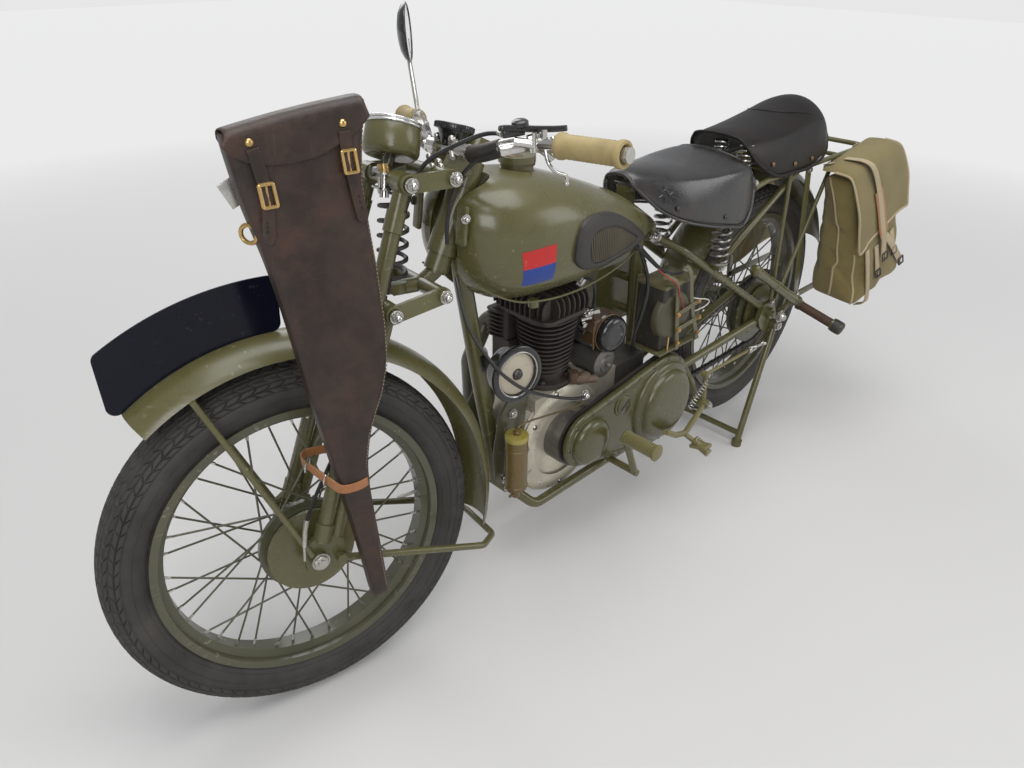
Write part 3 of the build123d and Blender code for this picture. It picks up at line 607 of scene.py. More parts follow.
nodeLook = {
    "olivePaint": ["frame_tubes", "fuel_tank", "rear_guard", "front_guard", "oil_tank", "girder_fork", "fork_links",
                   "steering_stem", "primary_chaincase", "carrier", "chain_guard", "rear_stand", "front_stand",
                   "rear_spindle", "front_spindle", "headlamp", "tyre_pump", "footrests"],
    "oliveDark": ["rear_wheel", "front_wheel", "battery_carrier", "exhaust"],
    "blackPaint": ["horn"],
    "brightSteel": ["handlebar"],
    "oliveYellow": ["foot_controls"],
    "plateBlack": ["number_plate"],
    "caseAlloy": ["crankcase"],
    "dullAlloy": ["gearbox", "carburettor", "magneto"],
    "ironFin": ["cylinder", "cylinder_head"],
    "darkSteel": ["fork_spring", "rear_chain", "speedometer"],
    "springSteel": ["seat_springs"],
    "chrome": ["mirror"],
    "padRubber": ["knee_pads", "battery"],
    "gripRubber": ["grips"],
    "tyreRubber": ["front_tyre", "rear_tyre"],
    "blackLeather": ["saddle", "pillion_seat"],
    "brownLeather": ["scabbard"],
    "canvas": ["pannier_left", "pannier_right"],
    "bottlePaint": ["oil_bottle"],
}
for key, names in nodeLook.items():
    for name in names:
        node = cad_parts[name]
        node.data.materials.clear()
        node.data.materials.append(look[key])
say("materials")

view = {
    "place": (1183.44, 986.11, 1248.13),   # in the model's own frame
    "yaw": -134.468,
    "down": 30.378,
    "roll": 0.782,
    "focal": 773.36,                       # for an image 1024 wide
    "width": 1024,
    "sensor": 36.0,
}


def addCamera():
    yaw, down, roll = (radians(view[key]) for key in ("yaw", "down", "roll"))
    ahead = Vector((cos(down) * cos(yaw), cos(down) * sin(yaw), -sin(down)))
    right = ahead.cross(Vector((0, 0, 1))).normalized()
    up = right.cross(ahead)
    right, up = right * cos(roll) + up * sin(roll), up * cos(roll) - right * sin(roll)
    data = bpy.data.cameras.new("photoCamera")
    data.sensor_width = view["sensor"]
    data.lens = view["focal"] * view["sensor"] / view["width"]
    data.clip_end = 60
    camera = bpy.data.objects.new("photoCamera", data)
    bpy.context.scene.collection.objects.link(camera)
    turn = Matrix((right, up, -ahead)).transposed().to_4x4()
    camera.matrix_world = Matrix.Translation([mm(v) for v in view["place"]]) @ turn
    bpy.context.scene.camera = camera


studio = {
    "floorSize": 30.0,
    "floorColour": (0.62, 0.61, 0.60),
    "floorNear": 1.2,
    "floorFar": 4.5,
    "backdrop": (0.80, 0.80, 0.80),
    "worldColour": (0.80, 0.82, 0.85, 1),
    "worldStrength": 0.5,
    "lamps": [
        # place, aim, size, power
        ((0.2, 0.4, 3.4), (0.1, 0.0, 0.5), 2.6, 70),
        ((2.6, 2.2, 2.4), (0.2, 0.0, 0.5), 1.8, 45),
        ((-2.2, 2.6, 1.8), (-0.2, 0.0, 0.5), 1.6, 22),
        ((-1.0, -2.8, 2.6), (0.0, 0.0, 0.5), 2.0, 30),
    ],
}


def addStudio():
    clearSelection()
    bpy.ops.mesh.primitive_plane_add(size=studio["floorSize"], location=(0, 0, -0.0006))
    floor = bpy.context.object
    floor.name = "studioFloor"
    finish, tree, shader = startMaterial("floorPaint", Roughness=0.8, Emission_Strength=1.0)
    place = addNode(tree, "ShaderNodeTexCoord")
    away = addNode(tree, "ShaderNodeVectorMath", operation="LENGTH")
    tree.links.new(place.outputs["Object"], away.inputs[0])
    far = ramp(tree, away.outputs["Value"], studio["floorNear"], studio["floorFar"])
    tree.links.new(blendColour(tree, far, studio["floorColour"], (0.0, 0.0, 0.0)), shader.inputs["Base Color"])
    tree.links.new(blendColour(tree, far, (0.0, 0.0, 0.0), studio["backdrop"]), shader.inputs["Emission Color"])
    floor.data.materials.append(finish)
    world = bpy.context.scene.world or bpy.data.worlds.new("World")
    bpy.context.scene.world = world
    world.use_nodes = True
    tree = world.node_tree
    lit = tree.nodes["Background"]
    lit.inputs["Color"].default_value = studio["worldColour"]
    lit.inputs["Strength"].default_value = studio["worldStrength"]
    seen = addNode(tree, "ShaderNodeBackground")
    seen.inputs["Color"].default_value = (*studio["backdrop"], 1)
    which = addNode(tree, "ShaderNodeLightPath")
    blend = addNode(tree, "ShaderNodeMixShader")
    tree.links.new(which.outputs["Is Camera Ray"], blend.inputs[0])
    tree.links.new(lit.outputs[0], blend.inputs[1])
    tree.links.new(seen.outputs[0], blend.inputs[2])
    tree.links.new(blend.outputs[0], tree.nodes["World Output"].inputs["Surface"])
    for number, (place, aim, size, power) in enumerate(studio["lamps"]):
        data = bpy.data.lights.new(f"softLamp{number}", "AREA")
        data.size, data.energy = size, power
        lamp = bpy.data.objects.new(f"softLamp{number}", data)
        bpy.context.scene.collection.objects.link(lamp)
        lamp.location = place
        lamp.rotation_euler = (Vector(aim) - Vector(place)).to_track_quat("-Z", "Y").to_euler()


addCamera()
addStudio()
bpy.context.scene.view_settings.view_transform = "Standard"
say("camera, floor and lamps")


tread = {
    "steps": 84,             # blocks round the tyre
    "zigzag": 0.26,          # how far every other row is turned, in blocks
    "groove": 1.5,
    "depth": 3.2,
    "turnedFrom": 290.0,     # radius past which the rows are turned
    "cutFrom": 293.5,        # radius past which the blocks are cut
    "edge": 0.8,
    "ribs": [(279.5, 42.8), (264.0, 36.6)],
    "ribWire": 0.7,
}

# radius and half width down one side, from the crown to the bead
tyreSide = [(321.6, 0.0), (321.2, 9.0), (319.6, 18.0), (316.2, 26.0), (311.0, 32.5), (303.0, 37.0), (295.0, 39.8),
            (292.5, 41.8), (284.0, 43.4), (274.0, 42.0), (266.0, 38.0), (260.0, 33.5), (256.8, 29.4), (245.5, 29.4),
            (245.5, 15.0)]


def makeTyre(name, body, axleX, axleZ):
    profile = [(r, -w) for r, w in reversed(tyreSide)] + [(r, w) for r, w in tyreSide[1:]]
    profile.append(profile[0])
    piece = addLathe(name, profile, (axleX, 0, axleZ), (0, 1, 0), tread["steps"])
    centre = spot(axleX, 0, axleZ)
    rows = {round(sign * w, 1): i for i, (r, w) in enumerate(tyreSide[:8]) for sign in (1, -1)}
    mesh = piece.data
    pitch = 2 * pi / tread["steps"]
    for point in mesh.vertices:
        row = rows.get(round((point.co.y - centre.y) * 1000, 1))
        radius = hypot(point.co.x - centre.x, point.co.z - centre.z)
        if row is None or radius < mm(tread["turnedFrom"]):
            continue
        turn = pitch * tread["zigzag"] * (1 if row % 2 else -1)
        point.co = centre + Matrix.Rotation(turn, 3, "Y") @ (point.co - centre)
    pick(piece)
    bpy.ops.object.mode_set(mode="EDIT")
    bpy.ops.mesh.select_mode(type="FACE")
    bpy.ops.mesh.select_all(action="DESELECT")
    bpy.ops.object.mode_set(mode="OBJECT")
    for face in mesh.polygons:
        radius = hypot(face.center.x - centre.x, face.center.z - centre.z)
        face.select = radius > mm(tread["cutFrom"])
    bpy.ops.object.mode_set(mode="EDIT")
    bpy.ops.mesh.inset(thickness=mm(tread["groove"]), depth=mm(tread["depth"]), use_individual=True)
    bpy.ops.object.mode_set(mode="OBJECT")
    bevelled(piece, tread["edge"], 2, 30)
    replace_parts(piece, name.replace("Treaded", "_tyre"))
    ribs = [addRing(f"{name}Rib{i}", (axleX, sign * w, axleZ), (0, 1, 0), r, tread["ribWire"], tread["steps"], 6)
            for i, (r, w) in enumerate(tread["ribs"]) for sign in (1, -1)]
    assemble(name, [piece] + ribs, body, "tyreRubber", 32)


wheelTrim = {
    "spokes": 20,            # on each side
    "nippleRadius": 3.1,
    "nippleLength": 13.0,
    "nippleReach": 231.5,
    "nippleSpread": 4.0,
    "lacing": 48,            # how far a spoke turns between rim and hub
}


def makeNipples(name, body, axleX, axleZ, flanges):
    made = []
    for side, flangeRadius, flangeY in flanges:
        for i in range(wheelTrim["spokes"]):
            turn = 2 * pi / wheelTrim["spokes"] * (i + 0.25 * side)
            hubTurn = turn + radians(wheelTrim["lacing"] * (1 if i % 2 else -1))
            out = Vector((wheelTrim["nippleReach"] * cos(turn), wheelTrim["nippleSpread"] * side,
                          wheelTrim["nippleReach"] * sin(turn)))
            foot = Vector((flangeRadius * cos(hubTurn), flangeY, flangeRadius * sin(hubTurn)))
            tip = out + (foot - out).normalized() * wheelTrim["nippleLength"]
            made.append(addBar("nipple", (axleX + out.x, out.y, axleZ + out.z), (axleX + tip.x, tip.y, axleZ + tip.z),
                               wheelTrim["nippleRadius"], 6, wheelTrim["nippleRadius"] * 0.8))
    valve = addBar("valve", (axleX - 232, 0, axleZ - 4), (axleX - 196, 3, axleZ - 2), 3.4, 12)
    valveCap = addBar("valveCap", (axleX - 200, 2.8, axleZ - 2.2), (axleX - 188, 3.4, axleZ - 1.6), 4.6, 12, 3.6)
    assemble(name, made + [valve, valveCap], body, "brightSteel")


frontAxle, rearAxle = (stance["wheelbase"], stance["tyreRadius"]), (0.0, stance["rearAxleZ"])
makeTyre("frontTreaded", "front_wheel_body", *frontAxle)
makeTyre("rearTreaded", "rear_wheel_body", *rearAxle)
# side, flange radius and flange Y of each row of spokes
makeNipples("frontNipples", "front_wheel_body", *frontAxle, ((1, 80, 31), (-1, 34, -38)))
makeNipples("rearNipples", "rear_wheel_body", *rearAxle, ((1, 82, 33), (-1, 38, -38)))
say("tyres and wheels")


def smoothStep(t):
    return t * t * (3 - 2 * t)


def between(table, x):
    # Reads a row of the table at any x, with the rows in falling order of x
    if x >= table[0][0]:
        return table[0][1:]
    for first, second in zip(table, table[1:]):
        if x >= second[0]:
            share = (first[0] - x) / (first[0] - second[0])
            return [a + (b - a) * share for a, b in zip(first[1:], second[1:])]
    return table[-1][1:]


saddle = {
    # x, top z, shoulder half width, shoulder z, skirt z, skirt half width
    "stations": [
        (570, 820, 24, 815, 804, 34),
        (562, 826, 32, 818, 794, 43),
        (548, 829, 40, 816, 778, 54),
        (520, 828, 56, 811, 748, 76),
        (488, 826, 73, 806, 729, 95),
        (450, 823, 88, 802, 714, 108),
        (380, 818, 104, 797, 694, 121),
        (320, 821, 115, 797, 681, 126),
        (265, 827, 118, 796, 668, 127),
        (238, 827, 114, 792, 680, 124),
        (218, 816, 108, 783, 706, 118),
        (206, 794, 101, 767, 742, 110),
    ],
    "aside": 0,
    "seam": {"x": 262, "bow": -36, "half": 104},
    "crowding": (0.55, 0.45),  # sections gather at the ends, the rest stand evenly
    "leather": 4.5,
    "edge": 3.6,
    "seamWire": 1.7,
    "stitchGap": 8.0,
    "stitchInset": 7.0,
    "stitchLift": (1.6, 1.2),
    "stitchHalf": 2.0,
    "thread": 0.7,
    "rivetRise": 22,           # above the foot of the skirt
    "rivetProud": 1.5,
    "rivets": [(336, 1), (484, 1), (336, -1), (484, -1)],
    "rivetProfile": [(0, 3.2), (3.5, 2.6), (5.6, 0.8), (6.0, 0), (4.0, -2)],
}
pillion = {
    "aside": 10,               # it sits a little to the left
    "seam": {"x": 22, "bow": -118, "half": 98},
    "stations": [
        (226, 853, 50, 849, 842, 64),
        (218, 857, 60, 846, 828, 76),
        (204, 859, 66, 843, 808, 84),
        (186, 860, 73, 841, 792, 91),
        (162, 861, 80, 839, 776, 98),
        (130, 863, 86, 838, 760, 104),
        (104, 865, 89, 839, 752, 107),
        (60, 870, 92, 842, 751, 109),
        (-20, 887, 93, 850, 748, 109),
        (-70, 901, 92, 856, 753, 108),
        (-114, 903, 86, 853, 762, 103),
        (-144, 888, 77, 842, 778, 94),
        (-160, 858, 66, 820, 796, 82),
    ],
    "rivets": [(138, 1), (44, 1), (-40, 1), (138, -1), (44, -1), (-40, -1)],
}


def seatSection(row):
    # Half a section from the middle of the top to the foot of the skirt
    top, shoulder, shoulderZ, skirtZ, skirtHalf = row
    points = []
    for i in range(7):
        t = i / 6
        points.append((shoulder * sin(t * pi / 2) ** 0.9 if t else 0.0,
                       shoulderZ + (top - shoulderZ) * (1 - smoothStep(t)) ** 0.9))
    for i in range(1, 7):
        t = i / 6
        points.append((shoulder + (skirtHalf - shoulder) * sin(t * pi / 2),
                       shoulderZ + (skirtZ - shoulderZ) * t ** 1.25))
    return points


def makeSeat(name, values, node, count, hide, studFinish):
    stations = values["stations"]
    first, last = stations[0][0], stations[-1][0]
    rows = []
    gathered, even = saddle["crowding"]
    for i in range(count + 1):
        t = i / count
        x = first + (last - first) * (0.5 - 0.5 * cos(t * pi)) * gathered + (last - first) * t * even
        half = seatSection(between(stations, x))
        rows.append([(x, -y, z) for y, z in reversed(half[1:])] + [(x, y, z) for y, z in half])
    rows = [[(x, y + values["aside"], z) for x, y, z in row] for row in rows]
    piece = addGrid(name, rows)
    apply(piece, "SMOOTH", factor=0.5, iterations=2)
    apply(piece, "SOLIDIFY", thickness=mm(saddle["leather"]), offset=-1.0)
    rounded(facesOutward(piece), 1)
    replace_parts(piece, node)
    border = (rows[0] + [row[-1] for row in rows[1:-1]] + rows[-1][::-1] + [row[0] for row in rows[-2:0:-1]])
    bead = addCurve(f"{name}Bead", border, saddle["edge"], 3, 4, 2, True)
    stitches = []
    ring = [Vector(p) for p in border]
    inward = Vector(((first + last) / 2, 0, 800))
    liftY, liftZ = saddle["stitchLift"]
    for a, b in zip(ring, ring[1:] + ring[:1]):
        parts = max(1, round((b - a).length / saddle["stitchGap"]))
        for k in range(parts):
            at = a + (b - a) * ((k + 0.5) / parts)
            pull = (inward - at).normalized() * saddle["stitchInset"]
            lift = Vector((0, liftY if at.y > 0 else -liftY, liftZ))
            step = (b - a).normalized() * saddle["stitchHalf"]
            here = at + Vector((pull.x, pull.y * 0.15, pull.z * 0.9)) + lift
            stitches.append(addBar("stitch", here - step, here + step, saddle["thread"], 5))
    rivets = []
    for x, side in values["rivets"]:
        top, shoulder, shoulderZ, skirtZ, skirtHalf = between(stations, x)
        z = skirtZ + saddle["rivetRise"]
        share = ((shoulderZ - z) / (shoulderZ - skirtZ)) ** 0.8
        y = shoulder + (skirtHalf - shoulder) * sin(share * pi / 2) + saddle["rivetProud"]
        at = (x, y * side + values["aside"], z)
        rivets.append(addLathe("rivet", saddle["rivetProfile"], at, (0, side, 0.15), 14))
    seamLine = []
    reach = values["seam"]["half"]
    for i in range(21):
        y = reach * (i / 10 - 1)
        x = values["seam"]["x"] + values["seam"]["bow"] * (abs(y) / reach) ** 2.6
        hit, place, normal, index = piece.ray_cast(spot(x, y, 980), Vector((0, 0, -1)))
        if hit:
            seamLine.append((x, y, place.z * 1000 + 0.3))
    seam = addCurve(f"{name}Seam", seamLine, saddle["seamWire"], 3, 4, 2)
    assemble(name, [piece, bead, seam], "frame", hide, 50)
    assemble(f"{name}Thread", stitches, "frame", "stitchDark")
    assemble(f"{name}Studs", rivets, "frame", studFinish)


makeSeat("saddleTop", saddle, "saddle", 24, "blackLeather", "darkSteel")
makeSeat("pillionTop", pillion, "pillion_seat", 26, "pillionLeather", "bronzeStud")


pillionSprings = {
    "places": [(205, 8), (196, 70)],
    "foot": 766,
    "top": 834,
    "wire": 2.6,
    "radius": 15,
    "turns": 6,
}


def addCoil(name, foot, top, radius, wire, turns):
    a, b = Vector(foot), Vector(top)
    axis = (b - a).normalized()
    side = axis.orthogonal().normalized()
    other = axis.cross(side)
    points = []
    steps = 14
    for i in range(int(turns * steps) + 1):
        t = i / (turns * steps)
        turn = 2 * pi * i / steps
        points.append(a + (b - a) * t + side * radius * cos(turn) + other * radius * sin(turn))
    return addCurve(name, points, wire, 3, 3, 2)


def addSpring(name, foot, top, radius, wire, turns):
    # Coil with a washer at each end
    washer = Vector((0, 0, 2))
    ends = [addBar(name, foot, Vector(foot) + washer, radius + 2, 24),
            addBar(name, Vector(top) - washer, top, radius + 2, 24)]
    return joined(name, [addCoil(name, foot, top, radius, wire, turns)] + ends)


coils = [addSpring("pillionSpring", (x, y, pillionSprings["foot"]), (x, y, pillionSprings["top"]),
                   pillionSprings["radius"], pillionSprings["wire"], pillionSprings["turns"])
         for x, y in pillionSprings["places"]]
assemble("pillionSprings", coils, "frame", "brightSteel")

# Tear with its folds on the left skirt, and the bright hook under the nose
tear = {
    "centre": (500, 777),
    "lips": [[(-10, 13), (2, 16), (12, 9), (20, 12)], [(-14, -6), (-4, -2), (4, 8), (8, 20)],
             [(14, -12), (8, -4), (16, 4), (22, -2)], [(-18, 4), (-8, 8), (-2, 2)],
             [(2, -10), (-4, -14), (-12, -12)]],
    "proud": 0.6,
    "foldWire": 2.4,
}
seatPiece = bpy.data.objects["saddleTop"]
folds = []
for line in tear["lips"]:
    made = []
    for along, up in line:
        start = spot(tear["centre"][0] + along, 200, tear["centre"][1] + up)
        hit, place, normal, index = seatPiece.ray_cast(start, Vector((0, -1, 0)))
        if hit:
            x, y, z = measured(place)
            made.append((x, y + tear["proud"], z))
    if len(made) > 1:
        folds.append(addCurve("saddleFold", made, tear["foldWire"], 3, 5, 2))
assemble("saddleFolds", folds, "frame", "blackLeather")
hook = [addCurve("noseHook", [(550, 20, 806), (544, 10, 812), (536, -8, 808), (530, -16, 794)], 4.0, 3, 6),
        addBlock("nosePlate", (532, 0, 798), (26, 62, 2.6), (0, 18, 0)),
        addBar("noseBolt", (542, -22, 786), (542, 22, 786), 6, 6)]
assemble("noseHooks", hook, "frame", "brightSteel")

say("saddle and pillion")


def smoothPath(points, parts=6, closed=False):
    # Points on one smooth line through the given points
    given = [Vector(p) for p in points]
    count = len(given)
    made = []
    last = count if closed else count - 1
    for i in range(last):
        if closed:
            p0, p1, p2, p3 = (given[(i + k) % count] for k in (-1, 0, 1, 2))
        else:
            p1, p2 = given[i], given[i + 1]
            p0 = given[i - 1] if i else p1 * 2 - p2
            p3 = given[i + 2] if i + 2 < count else p2 * 2 - p1
        for k in range(parts):
            t = k / parts
            made.append(0.5 * ((2 * p1) + (p2 - p0) * t + (2 * p0 - 5 * p1 + 4 * p2 - p3) * t * t
                               + (3 * p1 - p0 - 3 * p2 + p3) * t * t * t))
    if not closed:
        made.append(given[-1])
    return made


def addRibbon(name, points, width, thick, across, parts=6, closed=False, tip=0.0):
    # A strap along a line, flat along "across", with a tongue's point where tip is given
    line = smoothPath(points, parts, closed)
    count = len(line)
    rows = []
    for i, here in enumerate(line):
        ahead = line[(i + 1) % count] if closed or i + 1 < count else here
        behind = line[i - 1] if closed or i else here
        along = (ahead - behind).normalized()
        flat = Vector(across) - along * Vector(across).dot(along)
        flat.normalize()
        half = width / 2
        left = sum((line[k + 1] - line[k]).length for k in range(i, count - 1)) if tip else 1e9
        if tip and left < tip:
            half = width / 2 * max(0.15, sqrt(max(0.0, 1 - (1 - left / tip) ** 2)))
        rows.append((here - flat * half, here, here + flat * half))
    faces = gridFaces(count + 1 if closed else count, 3)
    faces = [tuple(corner % (count * 3) for corner in face) for face in faces]
    piece = newMesh(name, [spot(*p) for row in rows for p in row], [], faces)
    apply(piece, "SOLIDIFY", thickness=mm(thick), offset=0.0)
    return bevelled(facesOutward(piece), thick * 0.3, 2, 50)


def addBuckle(name, centre, wide, tall, wire, across, along):
    # A square frame with its tongue
    middle, across, along = Vector(centre), Vector(across).normalized(), Vector(along).normalized()
    corners = []
    for a, b in ((-1, -1), (1, -1), (1, 1), (-1, 1)):
        # Each corner has a point 3 mm before it and one 3 mm past it
        corner = middle + across * wide / 2 * a + along * tall / 2 * b
        inAcross, inAlong = corner - across * 3 * a, corner - along * 3 * b
        corners += [inAcross, corner, inAlong] if a * b < 0 else [inAlong, corner, inAcross]
    ringPiece = addCurve(f"{name}Ring", corners, wire, 3, 4, 2, True)
    outward = across.cross(along)
    tip, foot = middle + along * tall / 2, middle - along * tall / 2
    line = [tip, middle + outward * wire * 1.6, foot + outward * wire]
    tongue = addCurve(f"{name}Tongue", line, wire * 0.7, 3, 4)
    return joined(name, [ringPiece, tongue])


swelling = {"quality": 5, "frames": 20}


def puffed(piece, voxel, pressure, cap):
    # Swells a closed form as cloth, and keeps every point within the cap
    apply(piece, "REMESH", mode="VOXEL", voxel_size=mm(voxel))
    start = [point.co.copy() for point in piece.data.vertices]
    pick(piece)
    cloth = piece.modifiers.new("Cloth", "CLOTH")
    cloth.settings.use_pressure = True
    cloth.settings.uniform_pressure_force = pressure
    cloth.settings.effector_weights.gravity = 0
    cloth.settings.quality = swelling["quality"]
    scene = bpy.context.scene
    for number in range(1, swelling["frames"] + 1):
        scene.frame_set(number)
    bpy.ops.object.modifier_apply(modifier="Cloth")
    scene.frame_set(1)
    for point, was in zip(piece.data.vertices, start):
        move = point.co - was
        if move.length > mm(cap):
            point.co = was + move.normalized() * mm(cap)
    return piece


scabbard = {
    # z, x at the front edge, x at the back edge
    "stations": [
        (1041, 1404, 1212), (1038, 1405, 1212), (1020, 1405, 1217), (985, 1402, 1224), (940, 1397, 1230),
        (880, 1384, 1228), (825, 1373, 1224), (730, 1362, 1222), (668, 1356, 1226), (621, 1350, 1241),
        (590, 1346, 1256), (558, 1341, 1270), (513, 1336, 1281), (474, 1331, 1284), (430, 1325, 1283),
        (375, 1318, 1281), (320, 1312, 1279), (262, 1307, 1277), (240, 1305, 1281)],
    "backY": 114.5,
    "topY": 157.0,
    "lowY": 146.0,
    "slant": (1040, 800),        # the outer face leans in from this Z, over this height
    "slope": {"fromZ": 985, "over": 55, "rise": 7.0, "fall": 26.0, "backX": 1209, "run": 199},
    "wave": 2.2,
    "flapEdge": [(1411, 1024), (1401, 1000), (1386, 988), (1365, 980), (1331, 977), (1291, 981), (1264, 991),
                 (1235, 1004), (1213, 1020)],
    "straps": [[(1374, 1003), (1369, 972), (1366, 940), (1371, 900), (1374, 880)],
               [(1253, 1010), (1252, 985), (1249, 955), (1244, 915), (1240, 886)]],
    "strapWide": 17,
    "buckles": [(1365, 944), (1251, 971)],
    "rivets": [(1376, 1010), (1253, 1019)],
    "stitchGap": 6.0,
    "corners": (0.28, 0.42),     # how square the section is, along X and along Y
    "ringPoints": 28,
    "lidTop": [(113.0, -26), (112.5, -6), (120.0, 1.0), (140.0, 2.0), (155.0, 0.5)],  # y, rise
    "lidX": (1403.5, 1219),      # front and back
    "lidZ": 1043.0,
    "lidArch": 2.5,
    "lidFold": (0.1, 160.5, 7),  # share of the way down, y, drop
    "lidSteps": (0.35, 0.6, 0.85, 1.0),
    "lidProud": 4.2,
    "lidThick": 3.4,
    "lidColumns": 16,
    "rivetProfile": [(0, 3.4), (3.6, 2.6), (5.6, 0.6), (5.8, -1.5)],
    "holes": (0.12, 0.4, 0.68),  # along the strap's free end
    "holeProfile": [(0, 0.9), (1.7, 0.8), (2.0, 0)],
}


def scabbardFace(z):
    # Outer face's Y at a height
    fromZ, over = scabbard["slant"]
    share = (fromZ - z) / over
    return scabbard["topY"] + (scabbard["lowY"] - scabbard["topY"]) * max(0.0, share)


def scabbardSlope(x, z):
    # The top falls towards the front
    slope = scabbard["slope"]
    share = max(0.0, min(1.0, (z - slope["fromZ"]) / slope["over"]))
    return share * (slope["rise"] - slope["fall"] * (x - slope["backX"]) / slope["run"])


def makeScabbard():
    rings, count = [], scabbard["ringPoints"]
    squareX, squareY = scabbard["corners"]
    for z, front, back in scabbard["stations"]:
        outer, inner = scabbardFace(z), scabbard["backY"]
        ring = []
        for i in range(count):
            turn = 2 * pi * i / count
            c, s = cos(turn), sin(turn)
            x = (front + back) / 2 + (front - back) / 2 * (abs(c) ** squareX) * (1 if c >= 0 else -1)
            y = (outer + inner) / 2 + (outer - inner) / 2 * (abs(s) ** squareY) * (1 if s >= 0 else -1)
            if s > 0:
                wave = scabbard["wave"] * noise.noise(Vector((x / 90, z / 70, 3.1)))
                y += wave * s
            ring.append((x, y, z))
        rings.append(ring)
    rings = [[(x, y, z + scabbardSlope(x, z)) for x, y, z in ring] for ring in rings]
    points = [spot(*p) for ring in rings for p in ring]
    faces = gridFaces(len(rings), count, True)
    faces += [tuple(range(count)), tuple(reversed(range((len(rings) - 1) * count, len(rings) * count)))]
    piece = newMesh("rifleScabbard", points, [], faces)
    rounded(facesOutward(piece), 2)
    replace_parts(piece, "scabbard")
    fit(piece, "fork", "brownLeather", 55)

    # The lid goes over the top and hangs down the outer face in a bow
    lid, columns = [], scabbard["lidColumns"]
    edge = scabbard["flapEdge"]
    (frontX, backX), (foldShare, foldY, foldDrop) = scabbard["lidX"], scabbard["lidFold"]
    for c in range(columns + 1):
        share = c / columns
        at = share * (len(edge) - 1)
        k = min(int(at), len(edge) - 2)
        lowX = edge[k][0] + (edge[k + 1][0] - edge[k][0]) * (at - k)
        lowZ = edge[k][1] + (edge[k + 1][1] - edge[k][1]) * (at - k)
        topX = frontX + (backX - frontX) * share
        topZ = scabbard["lidZ"] + scabbard["lidArch"] * sin(share * pi)
        column = [(topX, y, topZ + rise) for y, rise in scabbard["lidTop"]]
        column.append((topX + (lowX - topX) * foldShare, foldY, topZ - foldDrop))
        for step in scabbard["lidSteps"]:
            z = (topZ - foldDrop) + (lowZ - topZ + foldDrop) * step
            column.append((topX + (lowX - topX) * step, scabbardFace(z) + scabbard["lidProud"], z))
        lid.append(column)
    lid = [[(x, y, z + scabbardSlope(x, z)) for x, y, z in column] for column in lid]
    lidPiece = addGrid("scabbardLid", lid, flip=True)
    apply(lidPiece, "SOLIDIFY", thickness=mm(scabbard["lidThick"]), offset=0.0)
    rounded(lidPiece, 1)
    parts = [lidPiece]
    for line in scabbard["straps"]:
        # Over the lid first, then down its edge and onto the case
        path = [(x, scabbardFace(z) + (7.2 if z > 985 else 4.6 if z > 925 else 3.4), z) for x, z in line]
        parts.append(addRibbon("scabbardStrap", path, scabbard["strapWide"], 3.2, (1, 0, 0), 6, False, 12.0))
    assemble("scabbardStraps", parts, "fork", "brownLeather", 50)

    bright = []
    for x, z in scabbard["buckles"]:
        at = (x, scabbardFace(z) + 7.5, z)
        bright.append(addBuckle("scabbardBuckle", at, 18, 29, 2.7, (1, 0, 0), (0.05, 0, 1)))
    for x, z in scabbard["rivets"]:
        at = (x, scabbardFace(z) + 5.4, z)
        bright.append(addLathe("scabbardRivet", scabbard["rivetProfile"], at, (0, 1, 0), 18))
    bright.append(addRing("scabbardRing", (1391, 134, 894), (0.75, 0.65, 0), 12, 3.2, 28, 8))
    assemble("scabbardBrass", bright, "fork", "brass")

    # Black discs on each strap's free end stand for its holes: painted shade in the holes
    holes = []
    for line in scabbard["straps"]:
        for share in scabbard["holes"]:
            a, b = line[3], line[4]
            x, z = a[0] + (b[0] - a[0]) * share, a[1] + 12 + (b[1] - a[1]) * share
            holes.append(addLathe("strapHoleShade", scabbard["holeProfile"], (x, scabbardFace(z) + 5.0, z), (0, 1, 0), 10))
    assemble("scabbardHoleShades", holes, "fork", "cableBlack")

    # Saddle stitches down the back edge
    thread = []
    line = [(back + 5.0, z) for z, front, back in scabbard["stations"][1:-1]]
    for (xa, za), (xb, zb) in zip(line, line[1:]):
        parts = max(1, round(hypot(xb - xa, zb - za) / scabbard["stitchGap"]))
        for k in range(parts):
            t = (k + 0.5) / parts
            x, z = xa + (xb - xa) * t, za + (zb - za) * t
            run = Vector((xb - xa, 0, zb - za)).normalized() * 1.7
            y = scabbardFace(z) - 1.0
            thread.append(addBar("scabbardStitch", (x - run.x, y, z - run.z), (x + run.x, y, z + run.z), 0.8, 5))
    assemble("scabbardThread", thread, "fork", "stitch")

    backPlate = bevelled(addBlock("scabbardPlate", (1393, 111.0, 946), (30, 2.4, 36), (0, 24, 0)), 1.0, 2)
    fit(backPlate, "fork", "brightSteel")


makeScabbard()

forkStrap = {
    "line": [(1281, 132, 480), (1290, 149, 479), (1310, 152, 478), (1333, 150, 482), (1347, 138, 496),
             (1362, 116, 512), (1368, 88, 516), (1352, 58, 510), (1310, 52, 500), (1283, 66, 490), (1279, 104, 484)],
    "wide": 15,
    "thick": 3.2,
    "rings": [(1366, 104, 514), (1349, 134, 499)],
}
band = addRibbon("forkStrap", forkStrap["line"], forkStrap["wide"], forkStrap["thick"], (0, 0, 1), 6, True)
fit(band, "fork", "tanLeather", 50)
rings = [addRing("strapRing", at, (0.7, -0.6, 0.2), 10.5, 1.5, 28, 8) for at in forkStrap["rings"]]
assemble("forkStrapRings", rings, "fork", "brightSteel")
say("scabbard")


